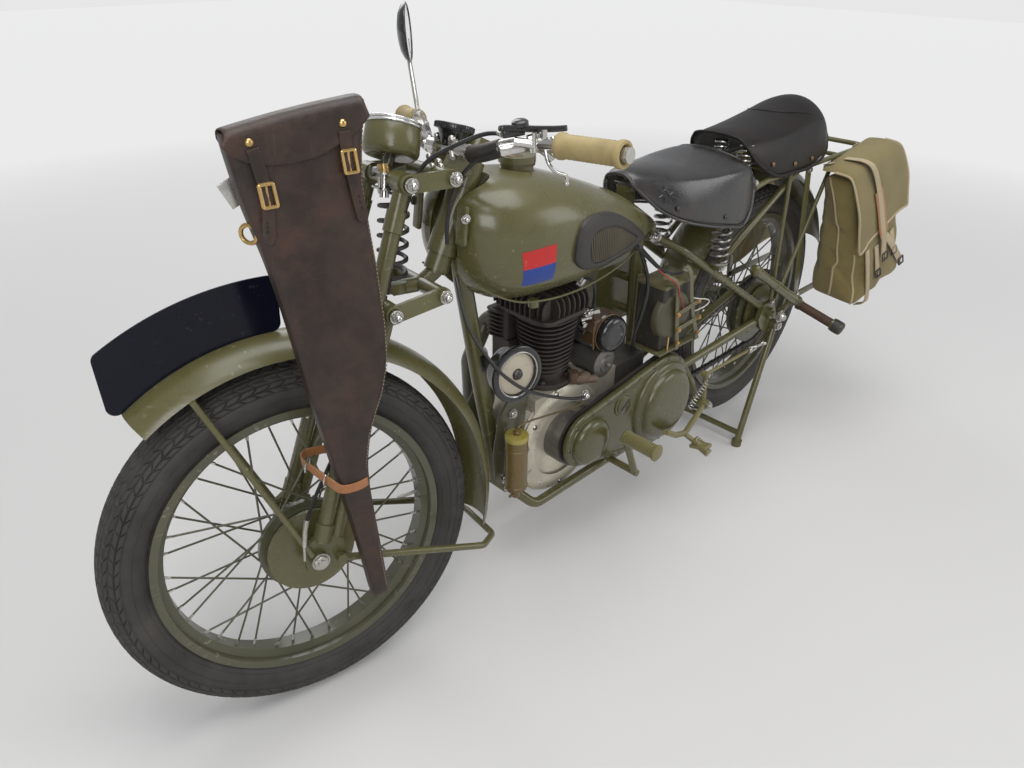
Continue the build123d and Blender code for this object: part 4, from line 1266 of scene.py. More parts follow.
pannier = {
    "inner": 116.0,
    "outer": 218.0,
    "front": -120.0,
    "back": -374.0,
    "foot": 388.0,
    "top": 752.0,
    "slack": (12, 8, 10),      # how much less than its outline the bag is cut
    "hang": (-280, 568),       # where its middle hangs
    "middle": (-248, 575),     # where its middle is modelled
    "lean": 9.5,
    "flare": 40.0,
    "flareBack": 20.0,
    "flareDown": 14.0,
    "voxel": 6.0,
    "pressure": 4.0,
    "cap": 11.0,
    "flapDrop": {"front": 574, "back": 606},
    "binding": 3.2,
    "seams": [
        [(-122, 130, 745), (-114, 148, 690), (-110, 165, 600), (-109, 168, 500), (-113, 162, 420), (-120, 158, 402)],
        [(-126, 214, 545), (-118, 222, 500), (-120, 220, 450), (-134, 206, 392), (-200, 206, 378), (-300, 206, 378),
         (-366, 206, 392)],
    ],
    "webs": [
        # points, width
        ([(-188, 140, 771), (-190, 190, 772), (-196, 216, 752), (-206, 231, 690), (-220, 235, 620), (-230, 237, 560),
          (-236, 234, 505)], 24),
        ([(-256, 231, 560), (-290, 233, 520), (-330, 231, 470), (-350, 228, 445)], 22),
        ([(-160, 228, 556), (-164, 229, 500), (-170, 227, 440), (-176, 220, 400), (-178, 200, 380)], 18),
        ([(-208, 229, 550), (-214, 230, 500), (-218, 228, 455)], 20),
        ([(-292, 229, 560), (-298, 230, 522), (-300, 230, 496)], 22),
        ([(-140, 128, 772), (-150, 108, 762)], 18),
    ],
    "patch": [(-204, 229, 700), (-216, 233, 650), (-226, 235, 600), (-232, 236, 575)],
    "buckles": [((-237, 238, 512), 28), ((-346, 232, 450), 26), ((-300, 233, 500), 26), ((-216, 232, 470), 24)],
    "loops": (-170, -320),     # where it hangs on its rail
}


def pannierBulge(piece):
    # Narrow foot, full belly and a slack front edge
    for point in piece.data.vertices:
        x, y, z = measured(point.co)
        high = (z - pannier["foot"]) / (pannier["top"] - pannier["foot"])
        out = (y - pannier["inner"]) / (pannier["outer"] - pannier["inner"])
        x += (high - 0.5) * 4.0
        y -= out * (14.0 * max(0.0, high - 0.55) * 2)
        wobble = noise.noise(Vector((x / 75, z / 60, y / 60)))
        y += out * 5.0 * wobble
        point.co = spot(x, y, z)


def pannierFlare(piece):
    # Everything on the bag leans outward and back towards its foot
    for point in piece.data.vertices:
        x, y, z = measured(point.co)
        low = max(0.0, pannier["top"] - z) / (pannier["top"] - pannier["foot"])
        out = max(0.0, min(1.2, (y - pannier["inner"]) / (pannier["outer"] - pannier["inner"])))
        back = max(0.0, min(1.1, (pannier["front"] - x) / (pannier["front"] - pannier["back"])))
        point.co = spot(x - pannier["flareBack"] * low * back, y + pannier["flare"] * low ** 1.3 * out,
                        z - pannier["flareDown"] * low * out)


# The bags hang nose down and behind their rails
pannierTilt = (Matrix.Translation(spot(pannier["hang"][0], 0, pannier["hang"][1]))
               @ Matrix.Rotation(radians(pannier["lean"]), 4, "Y")
               @ Matrix.Translation(-spot(pannier["middle"][0], 0, pannier["middle"][1])))


def laidOn(piece, line, lift):
    # The same line pulled onto the piece's surface
    laid = []
    for point in smoothPath(line, 5):
        hit, place, normal, index = piece.closest_point_on_mesh(spot(*point))
        laid.append(measured(place + normal * mm(lift)))
    return laid


flapShape = {
    "overlap": 8,              # past the front and the back of the bag
    "columns": 18,
    "rows": 14,
    "fold": 0.3,               # share of the rows that lies on top
    "hinge": (113.5, 764),     # y, z
    "topWide": 84,
    "topArch": 4,
    "topFall": 2,
    "turn": (197.5, 762),      # y, z where it turns down
    "outward": 29,
    "cornerFall": 38.4,
    "ripple": 4.0,
    "curl": (0.75, 20.0, 0.3),  # from this share of the rows, how far, and less behind the front edge
    "frontEdge": 0.12,
    "endDrop": (0.42, 72),     # from this share off the middle, how far
    "thick": 2.4,
}


def makePannier(name, side):
    low = Vector([pannier[key] for key in ("back", "inner", "foot")])
    high = Vector([pannier[key] for key in ("front", "outer", "top")])
    bag = addBlock(f"{name}Bag", (low + high) / 2, high - low - Vector(pannier["slack"]))
    startEdit(bag)
    bpy.ops.mesh.subdivide(number_cuts=7)
    bpy.ops.object.mode_set(mode="OBJECT")
    bevelled(bag, 12, 3, 60)
    pannierBulge(bag)
    puffed(bag, pannier["voxel"], pannier["pressure"], pannier["cap"])
    apply(bag, "SMOOTH", factor=0.5, iterations=2)
    rounded(bag, 1)

    # Lid: hinged at the inner top edge, over the top and half way down the outside
    front, back = pannier["front"] + flapShape["overlap"], pannier["back"] - flapShape["overlap"]
    columns, rows, fold = flapShape["columns"], flapShape["rows"], flapShape["fold"]
    (hingeY, hingeZ), (turnY, turnZ) = flapShape["hinge"], flapShape["turn"]
    (curlFrom, curl, curlBehind), (dropFrom, drop) = flapShape["curl"], flapShape["endDrop"]
    lid = []
    for c in range(columns + 1):
        share = c / columns
        x = front + (back - front) * share
        lowZ = pannier["flapDrop"]["front"] + (pannier["flapDrop"]["back"] - pannier["flapDrop"]["front"]) * share
        lowZ -= flapShape["cornerFall"] * abs(share - 0.5) ** 2
        column = []
        for r in range(rows + 1):
            t = r / rows
            if t < fold:
                u = t / fold
                y = hingeY + flapShape["topWide"] * u
                z = hingeZ + flapShape["topArch"] * sin(u * pi) - flapShape["topFall"] * u
            else:
                u = (t - fold) / (1 - fold)
                y = turnY + flapShape["outward"] * sin(min(1.0, u * 1.6) * pi / 2)
                z = turnZ + (lowZ - turnZ) * u ** 1.08
            ripple = noise.noise(Vector((x / 60, z / 80, 1.7))) * flapShape["ripple"] * t
            lift = curl * max(0.0, t - curlFrom) * (1 if share < flapShape["frontEdge"] else curlBehind)
            endDrop = drop * max(0.0, abs(share - 0.5) - dropFrom)
            column.append((x, y + ripple + lift, z - endDrop * (1 if t < 0.6 else 0.4)))
        lid.append(column)
    flap = addGrid(f"{name}Flap", lid)
    apply(flap, "SOLIDIFY", thickness=mm(flapShape["thick"]), offset=0.0)
    rounded(flap, 1)
    border = lid[0][2:] + [column[-1] for column in lid[1:-1]] + lid[-1][:1:-1]
    binding = addCurve(f"{name}Binding", border, pannier["binding"], 3, 3, 2)
    seams = [addCurve(f"{name}Seam", laidOn(bag, line, 0.3), 2.4, 3, 3) for line in pannier["seams"]]
    straps = [addRibbon(f"{name}Web", line, wide, 2.6, (1, 0, 0.15), 5) for line, wide in pannier["webs"]]
    patch = addRibbon(f"{name}Patch", pannier["patch"], 42, 2.6, (1, 0, 0), 5)
    buckles = [addBuckle(f"{name}Buckle", at, wide, 20, 1.7, (1, 0, 0), (0.1, 0, 1))
               for at, wide in pannier["buckles"]]
    loops = [[(x, 104, 758), (x, 98, 748), (x, 104, 738)] for x in pannier["loops"]]
    holders = [addRibbon(f"{name}Holder", loop, 22, 2.6, (1, 0, 0), 4) for loop in loops]

    pieces = [
        (joined(f"{name}Bag", [bag]), "canvas", "canvas"),
        (flap, "canvas", "canvas"),
        (joined(f"{name}Webs", [binding] + seams + straps + holders), "webbing", "canvas"),
        (patch, "tanLeather", "brown leather"),
        (joined(f"{name}Buckles", buckles), "darkSteel", "bright metal"),
    ]
    for piece, finish, slot in pieces:
        pannierFlare(piece)
        piece.data.transform(pannierTilt)
        if side < 0:
            piece.data.transform(otherSide)
            piece.data.flip_normals()
        fit(piece, "frame", finish, 60)
    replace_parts(bag, "pannier_left" if side > 0 else "pannier_right")


makePannier("leftPannier", 1)
makePannier("rightPannier", -1)
say("panniers")


def addNut(name, centre, axis, across, high, washer=1.35, acorn=True):
    # Hexagon nut on a washer, with a domed end where it is an acorn nut
    middle, axis = Vector(centre), Vector(axis).normalized()
    base = addBar(name, middle, middle + axis * high * 0.18, across * 0.5 * washer, 24)
    body = addBar(name, middle + axis * high * 0.18, middle + axis * high * 0.75, across * 0.56, 6)
    parts = [base, bevelled(body, across * 0.05, 1, 60)]
    if acorn:
        r = across * 0.4
        dome = [(r, 0), (r * 0.93, r * 0.35), (r * 0.7, r * 0.68), (r * 0.35, r * 0.88), (0, r * 0.95)]
        parts.append(addLathe(name, dome, middle + axis * high * 0.74, axis, 18))
    else:
        parts.append(addBar(name, middle + axis * high * 0.75, middle + axis * high, across * 0.28, 16))
    return joined(name, parts)


forkTrim = {
    "linkEyes": [(1131, 910), (1055, 908), (1181, 712), (1090, 724)],
    "linkY": 91,
    "ringY": 84.5,
    "blade": [(1131, 62, 910), (1357, 82, 362)],
    "collars": (0.10, 0.985),  # shares of the blade's length
    "collarHalf": 16,
    "cables": [
        # points, radius: two from the bar down in front of the fork, and the brake's
        ([(1010, 158, 976), (1006, 118, 977), (1040, 92, 962), (1072, 66, 946), (1096, 52, 928), (1118, 44, 880),
          (1150, 40, 800), (1172, 44, 735)], 3.4),
        ([(1003, 150, 954), (1010, 110, 944), (1034, 84, 920), (1044, 74, 898), (1056, 66, 868), (1063, 60, 830),
          (1062, 56, 800)], 3.4),
        ([(1176, 46, 735), (1204, 54, 640), (1262, 62, 560), (1330, 70, 470), (1372, 84, 420), (1384, 92, 400)], 3.2),
    ],
    "ferrules": [
        # start, end, radius, sides, radius at the end
        ((1012, 163, 976), (1009, 148, 976.5), 4.6, 12, 3.9),
        ((1002, 157, 956), (1006, 140, 952), 4.6, 12, 3.9),
        ((1380, 90, 408), (1390, 96, 386), 4.6, 12, 3.9),
        ((1388, 95, 390), (1394, 98, 366), 4.6, 12, 3.9),
        ((1394, 98, 368), (1398, 99, 340), 2.4, 10),
    ],
}

nuts = []
for x, z in forkTrim["linkEyes"]:
    nuts += bothSides(addNut("linkNut", (x, forkTrim["linkY"], z), (0, 1, 0), 17, 11))
for end in (1, -1):
    nuts.append(addNut("frontAxleNut", (1372, 98 * end, 325), (0, end, 0), 24, 9, 1.3, False))
assemble("forkNuts", nuts, "fork", "brightSteel")

rings = []
for x, z in forkTrim["linkEyes"][::2]:
    rings += bothSides(addRing("linkRing", (x, forkTrim["ringY"], z), (0, 1, 0), 13, 2.2, 32, 8))
bladeTop, bladeFoot = (Vector(p) for p in forkTrim["blade"])
along = (bladeFoot - bladeTop).normalized()
for share in forkTrim["collars"]:
    here, half = bladeTop + (bladeFoot - bladeTop) * share, along * forkTrim["collarHalf"]
    rings += bothSides(addBar("bladeCollar", here - half, here + half, 15.6, 28))
    rings += bothSides(addRing("bladeCollarRim", here + half, along, 14.2, 1.6, 28, 8))
assemble("forkCollars", rings, "fork", "olivePaint")

cables = [addCurve("forkCable", line, radius, 4) for line, radius in forkTrim["cables"]]
assemble("forkCables", cables, "fork", "cableBlack")
assemble("cableFerrules", addBars("cableEnd", forkTrim["ferrules"]), "fork", "brightSteel")
say("fork nuts and cables")

# Headlamp: shell, double rim and glass, with its mount and the damper beside it
lamp = {
    "foot": (1119, -3, 938),
    "axis": (-0.345, -0.215, 0.91),
    "shell": [(0, 2.5), (26, 2.2), (33, 0.6), (40, 1.4), (44.2, 5.5), (45.6, 11), (45.2, 30), (44.4, 47),
              (43.6, 48.5), (42.0, 48.5), (41.5, 44)],
    "rims": [(44.6, 49.5, 2.1), (43.4, 55.0, 2.0)],  # radius, height, wire
    "band": [(43.2, 47.5), (44.2, 49.5), (42.8, 52.5), (43.2, 55.5), (41.5, 57.0), (40.6, 54)],
    "glass": [(0, 64), (14, 63.4), (27, 61), (37, 57.4), (41.0, 54.6)],
    "bowl": [(0, 20), (14, 23), (28, 34), (38, 48), (41.0, 53)],
    "hook": [(1158, 8, 934), (1163, 8, 925), (1158, 8, 917), (1151, 8, 918), (1149, 8, 924)],
    "stalk": (1129, 0, 918),
    "damper": [
        ((1140, 16, 919), (1148, 22, 884), 7.5, 24),
        ((1139, 15, 921), (1140, 15, 918), 18, 32),
        ((1145, 20, 899), (1146, 20, 896), 19, 32),
        ((1154, 28, 918), (1158, 30, 893), 2.6, 12),
        ((1128, 30, 921), (1134, 34, 893), 2.6, 12),
    ],
}
axis, foot = Vector(lamp["axis"]).normalized(), Vector(lamp["foot"])
shell = addLathe("lampShell", lamp["shell"], foot, axis, 64)
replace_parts(shell, "headlamp")
fit(shell, "fork", "olivePaint")
chromes = [addLathe("lampBand", lamp["band"], foot, axis, 64)]
chromes += [addRing("lampRim", foot + axis * h, axis, r, wire, 64, 12) for r, h, wire in lamp["rims"]]
chromes.append(addLathe("lampBowl", lamp["bowl"], foot, axis, 48))
assemble("lampChrome", chromes, "fork", "chrome")
fit(addLathe("lampGlass", lamp["glass"], foot, axis, 48), "fork", "glass")
mount = [addCurve("lampHook", lamp["hook"], 2.2, 3, 6),
         addBar("lampStalk", lamp["stalk"], foot + axis * 3, 8.5, 24),
         softBlock("lampYoke", (1124, 0, 921), (40, 46, 9), (0, 12, 0), 2, 2)]
assemble("lampMount", mount, "fork", "oliveDark")
fit(addBar("lampCollar", (1139, 14, 934), (1140, 16, 919), 9.5, 28), "fork", "brass")
assemble("damperParts", addBars("damper", lamp["damper"]), "fork", "brightSteel")
say("headlamp")

# Speedometer with a knurled ring, and the clamp sleeves on the bar
dial = {
    "centre": (1005, -2, 952),
    "axis": (-0.30, -0.02, 0.954),
    "cup": [(0, -12), (15, -11.5), (18.5, -8), (22, 2), (26, 12), (28.5, 16)],
    "bezel": [(28.0, 13.5), (32.2, 14), (33.0, 16), (33.0, 22.5), (31.8, 24.5), (28.6, 25), (27.6, 22)],
    "knurls": 45,
    "knurlRadius": 33.0,
    "marks": 25,
    "sweep": 260,            # degrees that the marks cover
    "glass": [(0, 25.5), (14, 25.2), (27.8, 23.6)],
}
axis, middle = Vector(dial["axis"]).normalized(), Vector(dial["centre"])
cup = addLathe("speedCup", dial["cup"], middle, axis, 48)
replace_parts(cup, "speedometer")
body = [cup, addLathe("speedBezel", dial["bezel"], middle, axis, 60)]
u = axis.orthogonal().normalized()
w = axis.cross(u)
for i in range(dial["knurls"]):
    turn = 2 * pi * i / dial["knurls"]
    at = middle + (u * cos(turn) + w * sin(turn)) * dial["knurlRadius"]
    body.append(addBar("speedKnurl", at + axis * 15.2, at + axis * 23.4, 0.9, 6))
assemble("speedBody", body, "fork", "blackPaint")
fit(addLathe("speedFace", [(0, 20), (27.8, 20)], middle, axis, 40), "fork", "plateBlack")
marks = [addBlock("speedNeedle", middle + axis * 21.2 + Vector((-6, 4, -2)), (20, 1.6, 0.8), (0, 17, -35))]
u = Vector((1, 0, 0.31)).normalized()
w = axis.cross(u)
for i in range(dial["marks"]):
    turn = radians(dial["sweep"] * (i / (dial["marks"] - 1) - 0.5))
    foot, out = middle + axis * 20.6, u * cos(turn) + w * sin(turn)
    marks.append(addBar("speedMark", foot + out * (21 if i % 4 else 18.5), foot + out * 25.5, 0.5, 5))
assemble("speedMarks", marks, "fork", "enamelWhite")
fit(addLathe("speedGlass", dial["glass"], middle, axis, 40), "fork", "glass")

bars = {
    "clamps": [
        ((1012, 33, 938), (1012, 66, 938), 13.4, 32),
        ((1012, -66, 938), (1012, -33, 938), 13.4, 32),
        ((1012, 64, 938), (1012, 71, 938), 14.8, 6),
        ((1012, -71, 938), (1012, -64, 938), 14.8, 6),
        ((1020, 18, 946), (1030, 40, 930), 4.2, 16),
    ],
    "riserNuts": [(1019, 25, 952), (1019, -25, 952)],
    "bolts": [((1046, 22, 925), 6), ((1052, 40, 921), 5), ((1044, -14, 929), 6), ((1062, 30, 922), 4.4)],
    "elbow": [(1012, 68, 938), (1009, 90, 940), (1000, 112, 946), (993, 128, 951)],
}
bright = addBars("barSleeve", bars["clamps"])
bright += [addNut("riserNut", at, (0.3, 0, 0.95), 13, 10) for at in bars["riserNuts"]]
bright += [addBall("barBolt", at, r) for at, r in bars["bolts"]]
assemble("barClamps", bright, "fork", "brightSteel")
elbows = [addCurve("barElbow", [(x, y * side, z) for x, y, z in bars["elbow"]], 14.0, 3, 8, 4) for side in (1, -1)]
assemble("barElbows", elbows, "fork", "darkSteel")

levers = {
    "flat": [(1018, 166, 986), (998, 170, 984), (965, 178, 980), (934, 184, 977), (912, 187, 976)],
    "disc": [(0, 9), (9, 8.4), (12.5, 6), (13, 0), (10, -3), (0, -3)],
    "blocks": [
        # centre, size, turn
        ((996, 160, 955), (38, 30, 15), (0, 8, -24)),
        ((972, 188, 962), (22, 18, 26), (0, 8, -24)),
        ((992, -148, 957), (30, 30, 15), (0, 8, 24)),
    ],
    "blades": [
        # points, radius, steps: clutch, air and brake
        ([(1000, 176, 966), (986, 187, 964), (972, 195, 958), (958, 199, 948), (950, 201, 938)], 7.0, 8),
        ([(968, 208, 956), (976, 222, 941), (968, 226, 928), (958, 226, 921), (947, 226, 918), (941, 225, 912),
          (943, 225, 905)], 3.0, 6),
        ([(1000, -150, 956), (1006, -190, 962), (994, -250, 962), (980, -320, 958), (968, -346, 955)], 5.0, 8),
    ],
    "screws": [
        ((966, 204, 981), (966, 204, 952), 4.6, 6),
        ((978, 196, 978), (978, 196, 950), 3.6, 12),
        ((958, 214, 972), (956, 222, 948), 5.4, 16),
    ],
}
dark = [bevelled(addRibbon("leverFlat", levers["flat"], 17, 9, (0, 1, 0.15), 6, False, 5), 1.5, 2, 50),
        addLathe("leverDisc", levers["disc"], (986, 172, 987), (0.1, 0.1, 1), 28),
        softBlock("leverHub", (996, 166, 978), (34, 20, 12), (0, 4, -14), 2.5, 2)]
bright = [addCurve("leverBlade", line, radius, 3, steps, 3) for line, radius, steps in levers["blades"]]
bright += [softBlock("leverBracket", *block, 3, 2) for block in levers["blocks"]]
bright += addBars("leverScrew", levers["screws"]) + [addBall("leverBall", (943, 225, 904), 4.2)]
assemble("barLevers", bright, "fork", "brightSteel")
assemble("barLeversBlack", dark, "fork", "blackPaint")

grip = {
    "inner": (956, 222, 960),
    "outer": (925, 346, 956),
    "ribs": 22,
    "ribPitch": 4.0,
    "start": [(11.5, 0), (18.8, 0.5), (19.6, 3), (19.4, 8), (17.8, 11)],
    "end": [(18.0, 104), (19.6, 107), (20.0, 111), (19.2, 115), (15.0, 116), (12.6, 113), (12.0, 104), (0, 104)],
}
axis = (Vector(grip["outer"]) - Vector(grip["inner"])).normalized()
foot = Vector(grip["inner"]) + axis * 4
ribs = [(17.6 - 0.5 * (k % 2), 14 + grip["ribPitch"] * k) for k in range(grip["ribs"])]
sleeve = addLathe("gripSleeve", grip["start"] + ribs + grip["end"], foot, axis, 48)
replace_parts(sleeve, "grips")
assemble("gripSleeves", bothSides(sleeve), "fork", "gripRubber")
ring = addRing("gripRing", foot + axis * 113.5, axis, 15.2, 2.0, 32, 8)
assemble("gripRings", bothSides(ring), "fork", "brass")
say("handlebar")

# Mirror, seen on its edge
mirror = {
    "centre": (958, -230, 1110),
    "axis": (-0.844, 0.536, 0),
    "rim": [(0, -15), (18, -14.5), (34, -11), (45, -5), (50, 1), (50, 4), (48.0, 5.0), (46.5, 3)],
    "glass": [(0, 3.4), (47, 3.4)],
    "stem": [(974, -181, 962), (974, -182, 985), (966, -206, 1030), (958, -230, 1070), (958, -230, 1100)],
}
fit(addLathe("mirrorRim", mirror["rim"], mirror["centre"], mirror["axis"], 56), "fork", "blackPaint")
fit(addLathe("mirrorGlass", mirror["glass"], mirror["centre"], mirror["axis"], 40), "fork", "chrome")
arm = [addCurve("mirrorStem", mirror["stem"], 4.3, 3, 8, 3),
       addNut("mirrorNut", (974, -181, 970), (0, 0, 1), 16, 14, 1.2, False),
       addBar("mirrorClamp", (979, -166, 958.5), (968, -194, 959.3), 14.8, 28)]
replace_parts(assemble("mirrorArm", arm, "fork", "brightSteel"), "mirror")
say("mirror")


tankTrim = {
    # x, z on the left side of the tank
    "pad": [(851, 741), (852, 774), (842, 799), (819, 813), (777, 812), (730, 801), (677, 776), (620, 742),
            (573, 709), (600, 702), (650, 703), (700, 703), (770, 706), (820, 716)],
    "panel": [(812, 742), (813, 764), (798, 781), (765, 784), (723, 774), (673, 750), (625, 722),
              (640, 717), (680, 717), (740, 717), (784, 720), (804, 729)],
    "square": [(968, 782), (898, 786), (896, 717), (959, 716)],
    "squareParts": 14,
    "padPoints": 72,
    "padThick": 8.5,
    "panelLift": 0.62,       # share of the thickness
    # share of the way from the pad's outline to the panel's, share of the thickness
    "padSection": [(0.02, 0.72), (0.10, 0.95), (0.3, 1.06), (0.6, 1.04), (0.88, 0.94), (0.97, 0.8), (1.0, 0.62)],
    "ribsX": (632.0, 812),
    "ribPitch": 6.5,
    "ribLean": 10,
    "ribWire": 1.5,
}
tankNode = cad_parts["fuel_tank"]
smooth(tankNode, 50)


def onTank(x, z, lift=0.0):
    hit, where, normal, index = tankNode.ray_cast(spot(x, 400, z), Vector((0, -1, 0)))
    y = where.y * 1000 if hit else 90.0
    return (x, y + lift, z)


def evenly(outline, count):
    line = smoothPath([(x, 0, z) for x, z in outline], 8, True)
    steps = [0.0]
    for a, b in zip(line, line[1:] + line[:1]):
        steps.append(steps[-1] + (b - a).length)
    line.append(line[0])
    made, k = [], 0
    for i in range(count):
        at = steps[-1] * i / count
        while steps[k + 1] < at:
            k += 1
        made.append(line[k].lerp(line[k + 1], (at - steps[k]) / (steps[k + 1] - steps[k])))
    return made


def makeKneePad():
    count = tankTrim["padPoints"]
    outer, inner = evenly(tankTrim["pad"], count), evenly(tankTrim["panel"], count)
    offset = min(range(count), key=lambda k: sum((outer[i] - inner[(i + k) % count]).length
                                                 for i in range(0, count, 6)))
    inner = inner[offset:] + inner[:offset]
    middle = sum(inner, Vector()) / count
    thick = tankTrim["padThick"]
    panelLift = thick * tankTrim["panelLift"]
    rows = [[onTank(p.x, p.z, 0.2) for p in outer]]
    for share, lift in tankTrim["padSection"]:
        row = [a.lerp(b, share) for a, b in zip(outer, inner)]
        rows.append([onTank(p.x, p.z, thick * lift) for p in row])
    for share in (0.25, 0.5, 0.75):
        row = [p.lerp(middle, share) for p in inner]
        rows.append([onTank(p.x, p.z, panelLift) for p in row])
    points = [spot(*p) for row in rows for p in row]
    faces = gridFaces(len(rows), count, True)
    points.append(spot(*onTank(middle.x, middle.z, panelLift)))
    base = (len(rows) - 1) * count
    faces += [(base + i, base + (i + 1) % count, len(points) - 1) for i in range(count)]
    pad = facesOutward(newMesh("kneePad", points, [], faces))
    ribs = []
    x, lastX = tankTrim["ribsX"]
    while x < lastX:
        crossings = []
        for a, b in zip(inner, inner[1:] + inner[:1]):
            if (a.x - x) * (b.x - x) < 0:
                crossings.append(a.z + (b.z - a.z) * (x - a.x) / (b.x - a.x))
        if len(crossings) >= 2:
            low, high = min(crossings) + 1, max(crossings) - 1
            if high - low > 6:
                line = [onTank(x + tankTrim["ribLean"] * (t - 0.5), low + (high - low) * t, panelLift + 0.5)
                        for t in (0, 0.25, 0.5, 0.75, 1)]
                ribs.append(addCurve("kneeRib", line, tankTrim["ribWire"], 3, 4, 1))
        x += tankTrim["ribPitch"]
    return pad, joined("kneeRibs", ribs)


pad, ribs = makeKneePad()
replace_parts(pad, "knee_pads")
assemble("kneePads", bothSides(pad), "frame", "padRubber", 45)
assemble("kneeRibPair", bothSides(ribs), "frame", "ribRubber")


def makeSquare(name, low, high, finish):
    # A part of the square, between two shares of its height, laid on the tank's skin
    topFront, topBack, lowBack, lowFront = (Vector(corner) for corner in tankTrim["square"])
    count = tankTrim["squareParts"]
    rows = []
    for i in range(count + 1):
        top, foot = topFront.lerp(topBack, i / count), lowFront.lerp(lowBack, i / count)
        row = [top.lerp(foot, low + (high - low) * k / count) for k in range(count + 1)]
        rows.append([onTank(place.x, place.y, 0.35) for place in row])
    fit(addGrid(name, rows), "frame", finish)


makeSquare("squareRed", 0.0, 0.5, "enamelRed")
makeSquare("squareBlue", 0.5, 1.0, "enamelBlue")

filler = {
    "at": (866, 0, 879),
    "axis": (-0.16, 0, 0.99),
    "cap": [(34, -2), (34, 3), (30, 5), (27.5, 7), (27.5, 12), (31, 13), (31.5, 15), (31.5, 23), (30, 26), (24, 28),
            (12, 29), (0, 29.4)],
    "ridges": 36,
    "ridgeRadius": 31.4,
    "slope": 4.8,
}
cap = [addLathe("fillerCap", filler["cap"], filler["at"], filler["axis"], 60)]
for i in range(filler["ridges"]):
    turn = 2 * pi * i / filler["ridges"]
    x, y = filler["at"][0] + filler["ridgeRadius"] * cos(turn), filler["ridgeRadius"] * sin(turn)
    rise = filler["slope"] * cos(turn)
    cap.append(addBar("fillerRidge", (x, y, 895 + rise * 1.03), (x - 1.2, y, 902 + rise), 1.1, 6))
assemble("fillerCap", cap, "frame", "oldBrass")

tankFittings = {
    # x, half width, z along the tank's lower seam
    "seam": [(1026, 78, 724), (985, 104, 690), (905, 120, 676), (820, 122, 672), (740, 112, 672), (650, 92, 673),
             (560, 62, 676)],
    "ear": ((1046, 58, 832), (9, 22, 66)),
}
parts, bolts = [], []
for side in (1, -1):
    (x, y, z), size = tankFittings["ear"]
    parts.append(softBlock("tankEar", (x, y * side, z), size, (0, -8, 10 * side), 4, 3))
    parts.append(addBar("tankEarFoot", (1040, 50 * side, 820), (1010, 40 * side, 812), 12, 20))
    parts.append(addCurve("tankSeam", [(x, y * side, z) for x, y, z in tankFittings["seam"]], 2.0, 3, 6))
    parts.append(addBar("tankBoss", (905, 88 * side, 668), (905, 88 * side, 655), 10, 20))
    bolts.append(addNut("tankBolt", (470, 30 * side, 668), (0.1, side, 0.1), 15, 10))
    bolts.append(addNut("tankBolt", (1047, 68 * side, 846), (0.3, side, 0), 12, 8))
assemble("tankParts", parts, "frame", "olivePaint")
assemble("tankBolts", bolts, "frame", "brightSteel")
say("tank")


engine = {
    "x": 774, "footZ": 418, "topZ": 574, "headZ": 634,
    "fins": 13,
    "finHalf": (46, 61),       # at the foot and at the top
    "finThick": 3.4,
    "chest": (726, 850, -106, -58),
    "chestFins": 7,
    "chestPitch": 9.4,
    "headPitch": 15.0,
    "crossFins": 11,
    "crossPitch": 14.0,
    "studRadius": 52,
}


def softBox(lowX, highX, lowY, highY, corner, steps=7):
    # Outline of a box with round corners, as X, Y pairs
    made = []
    centres = ((highX - corner, highY - corner), (lowX + corner, highY - corner),
               (lowX + corner, lowY + corner), (highX - corner, lowY + corner))
    for quarter, (cx, cy) in enumerate(centres):
        for k in range(steps + 1):
            turn = pi / 2 * (quarter + k / steps)
            made.append((cx + corner * cos(turn), cy + corner * sin(turn)))
    return made


def makeCylinder():
    x, foot, top, thick = engine["x"], engine["footZ"], engine["topZ"], engine["finThick"]
    low, high = engine["finHalf"]
    parts = [addBar("barrelCore", (x, 0, foot), (x, 0, top), 45, 48)]
    for i in range(engine["fins"]):
        share = i / (engine["fins"] - 1)
        z = foot + 28 + (top - foot - 34) * share
        half = low + (high - low) * share ** 0.85
        outline = softBox(x - half, x + half, -half, half, half * 0.78, 9)
        parts.append(bevelled(addSlice("barrelFin", outline, z, z + thick), 0.9, 1))
    parts.append(bevelled(addBar("barrelFoot", (x, 0, foot), (x, 0, foot + 12), 61, 48), 2, 2))
    lowX, highX, lowY, highY = engine["chest"]
    parts.append(addSlice("chestCore", softBox(lowX + 8, highX - 10, lowY + 10, highY + 8, 6), foot + 92, top))
    for i in range(engine["chestFins"]):
        z = foot + 94 + engine["chestPitch"] * i
        parts.append(bevelled(addSlice("chestFin", softBox(lowX, highX, lowY, highY, 12), z, z + thick), 0.9, 1))
    parts += [addBlock("chestLow", (786, -70, 462), (104, 50, 92)),
              addBar("inletPort", (730, -60, 540), (700.4, -60, 540), 14, 24)]
    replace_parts(assemble("barrel", parts, "frame", "ironFin", 35), "cylinder")
    studs = []
    for turn in (40, 140, 220, 320):
        out = engine["studRadius"] * Vector((cos(radians(turn)), sin(radians(turn)), 0))
        studs.append(addNut("footNut", Vector((x, 0, foot + 11)) + out, (0, 0, 1), 14, 10, 1.2, False))
    assemble("footNuts", studs, "frame", "darkSteel")
    cover = [softBlock("chestLid", (786, -98, 462), (88, 6, 74), (0, 0, 0), 2, 2),
             addNut("lidNut", (786, -101, 462), (0, -1, 0), 15, 10, 1.3)]
    assemble("chestCover", cover, "frame", "caseAlloy")


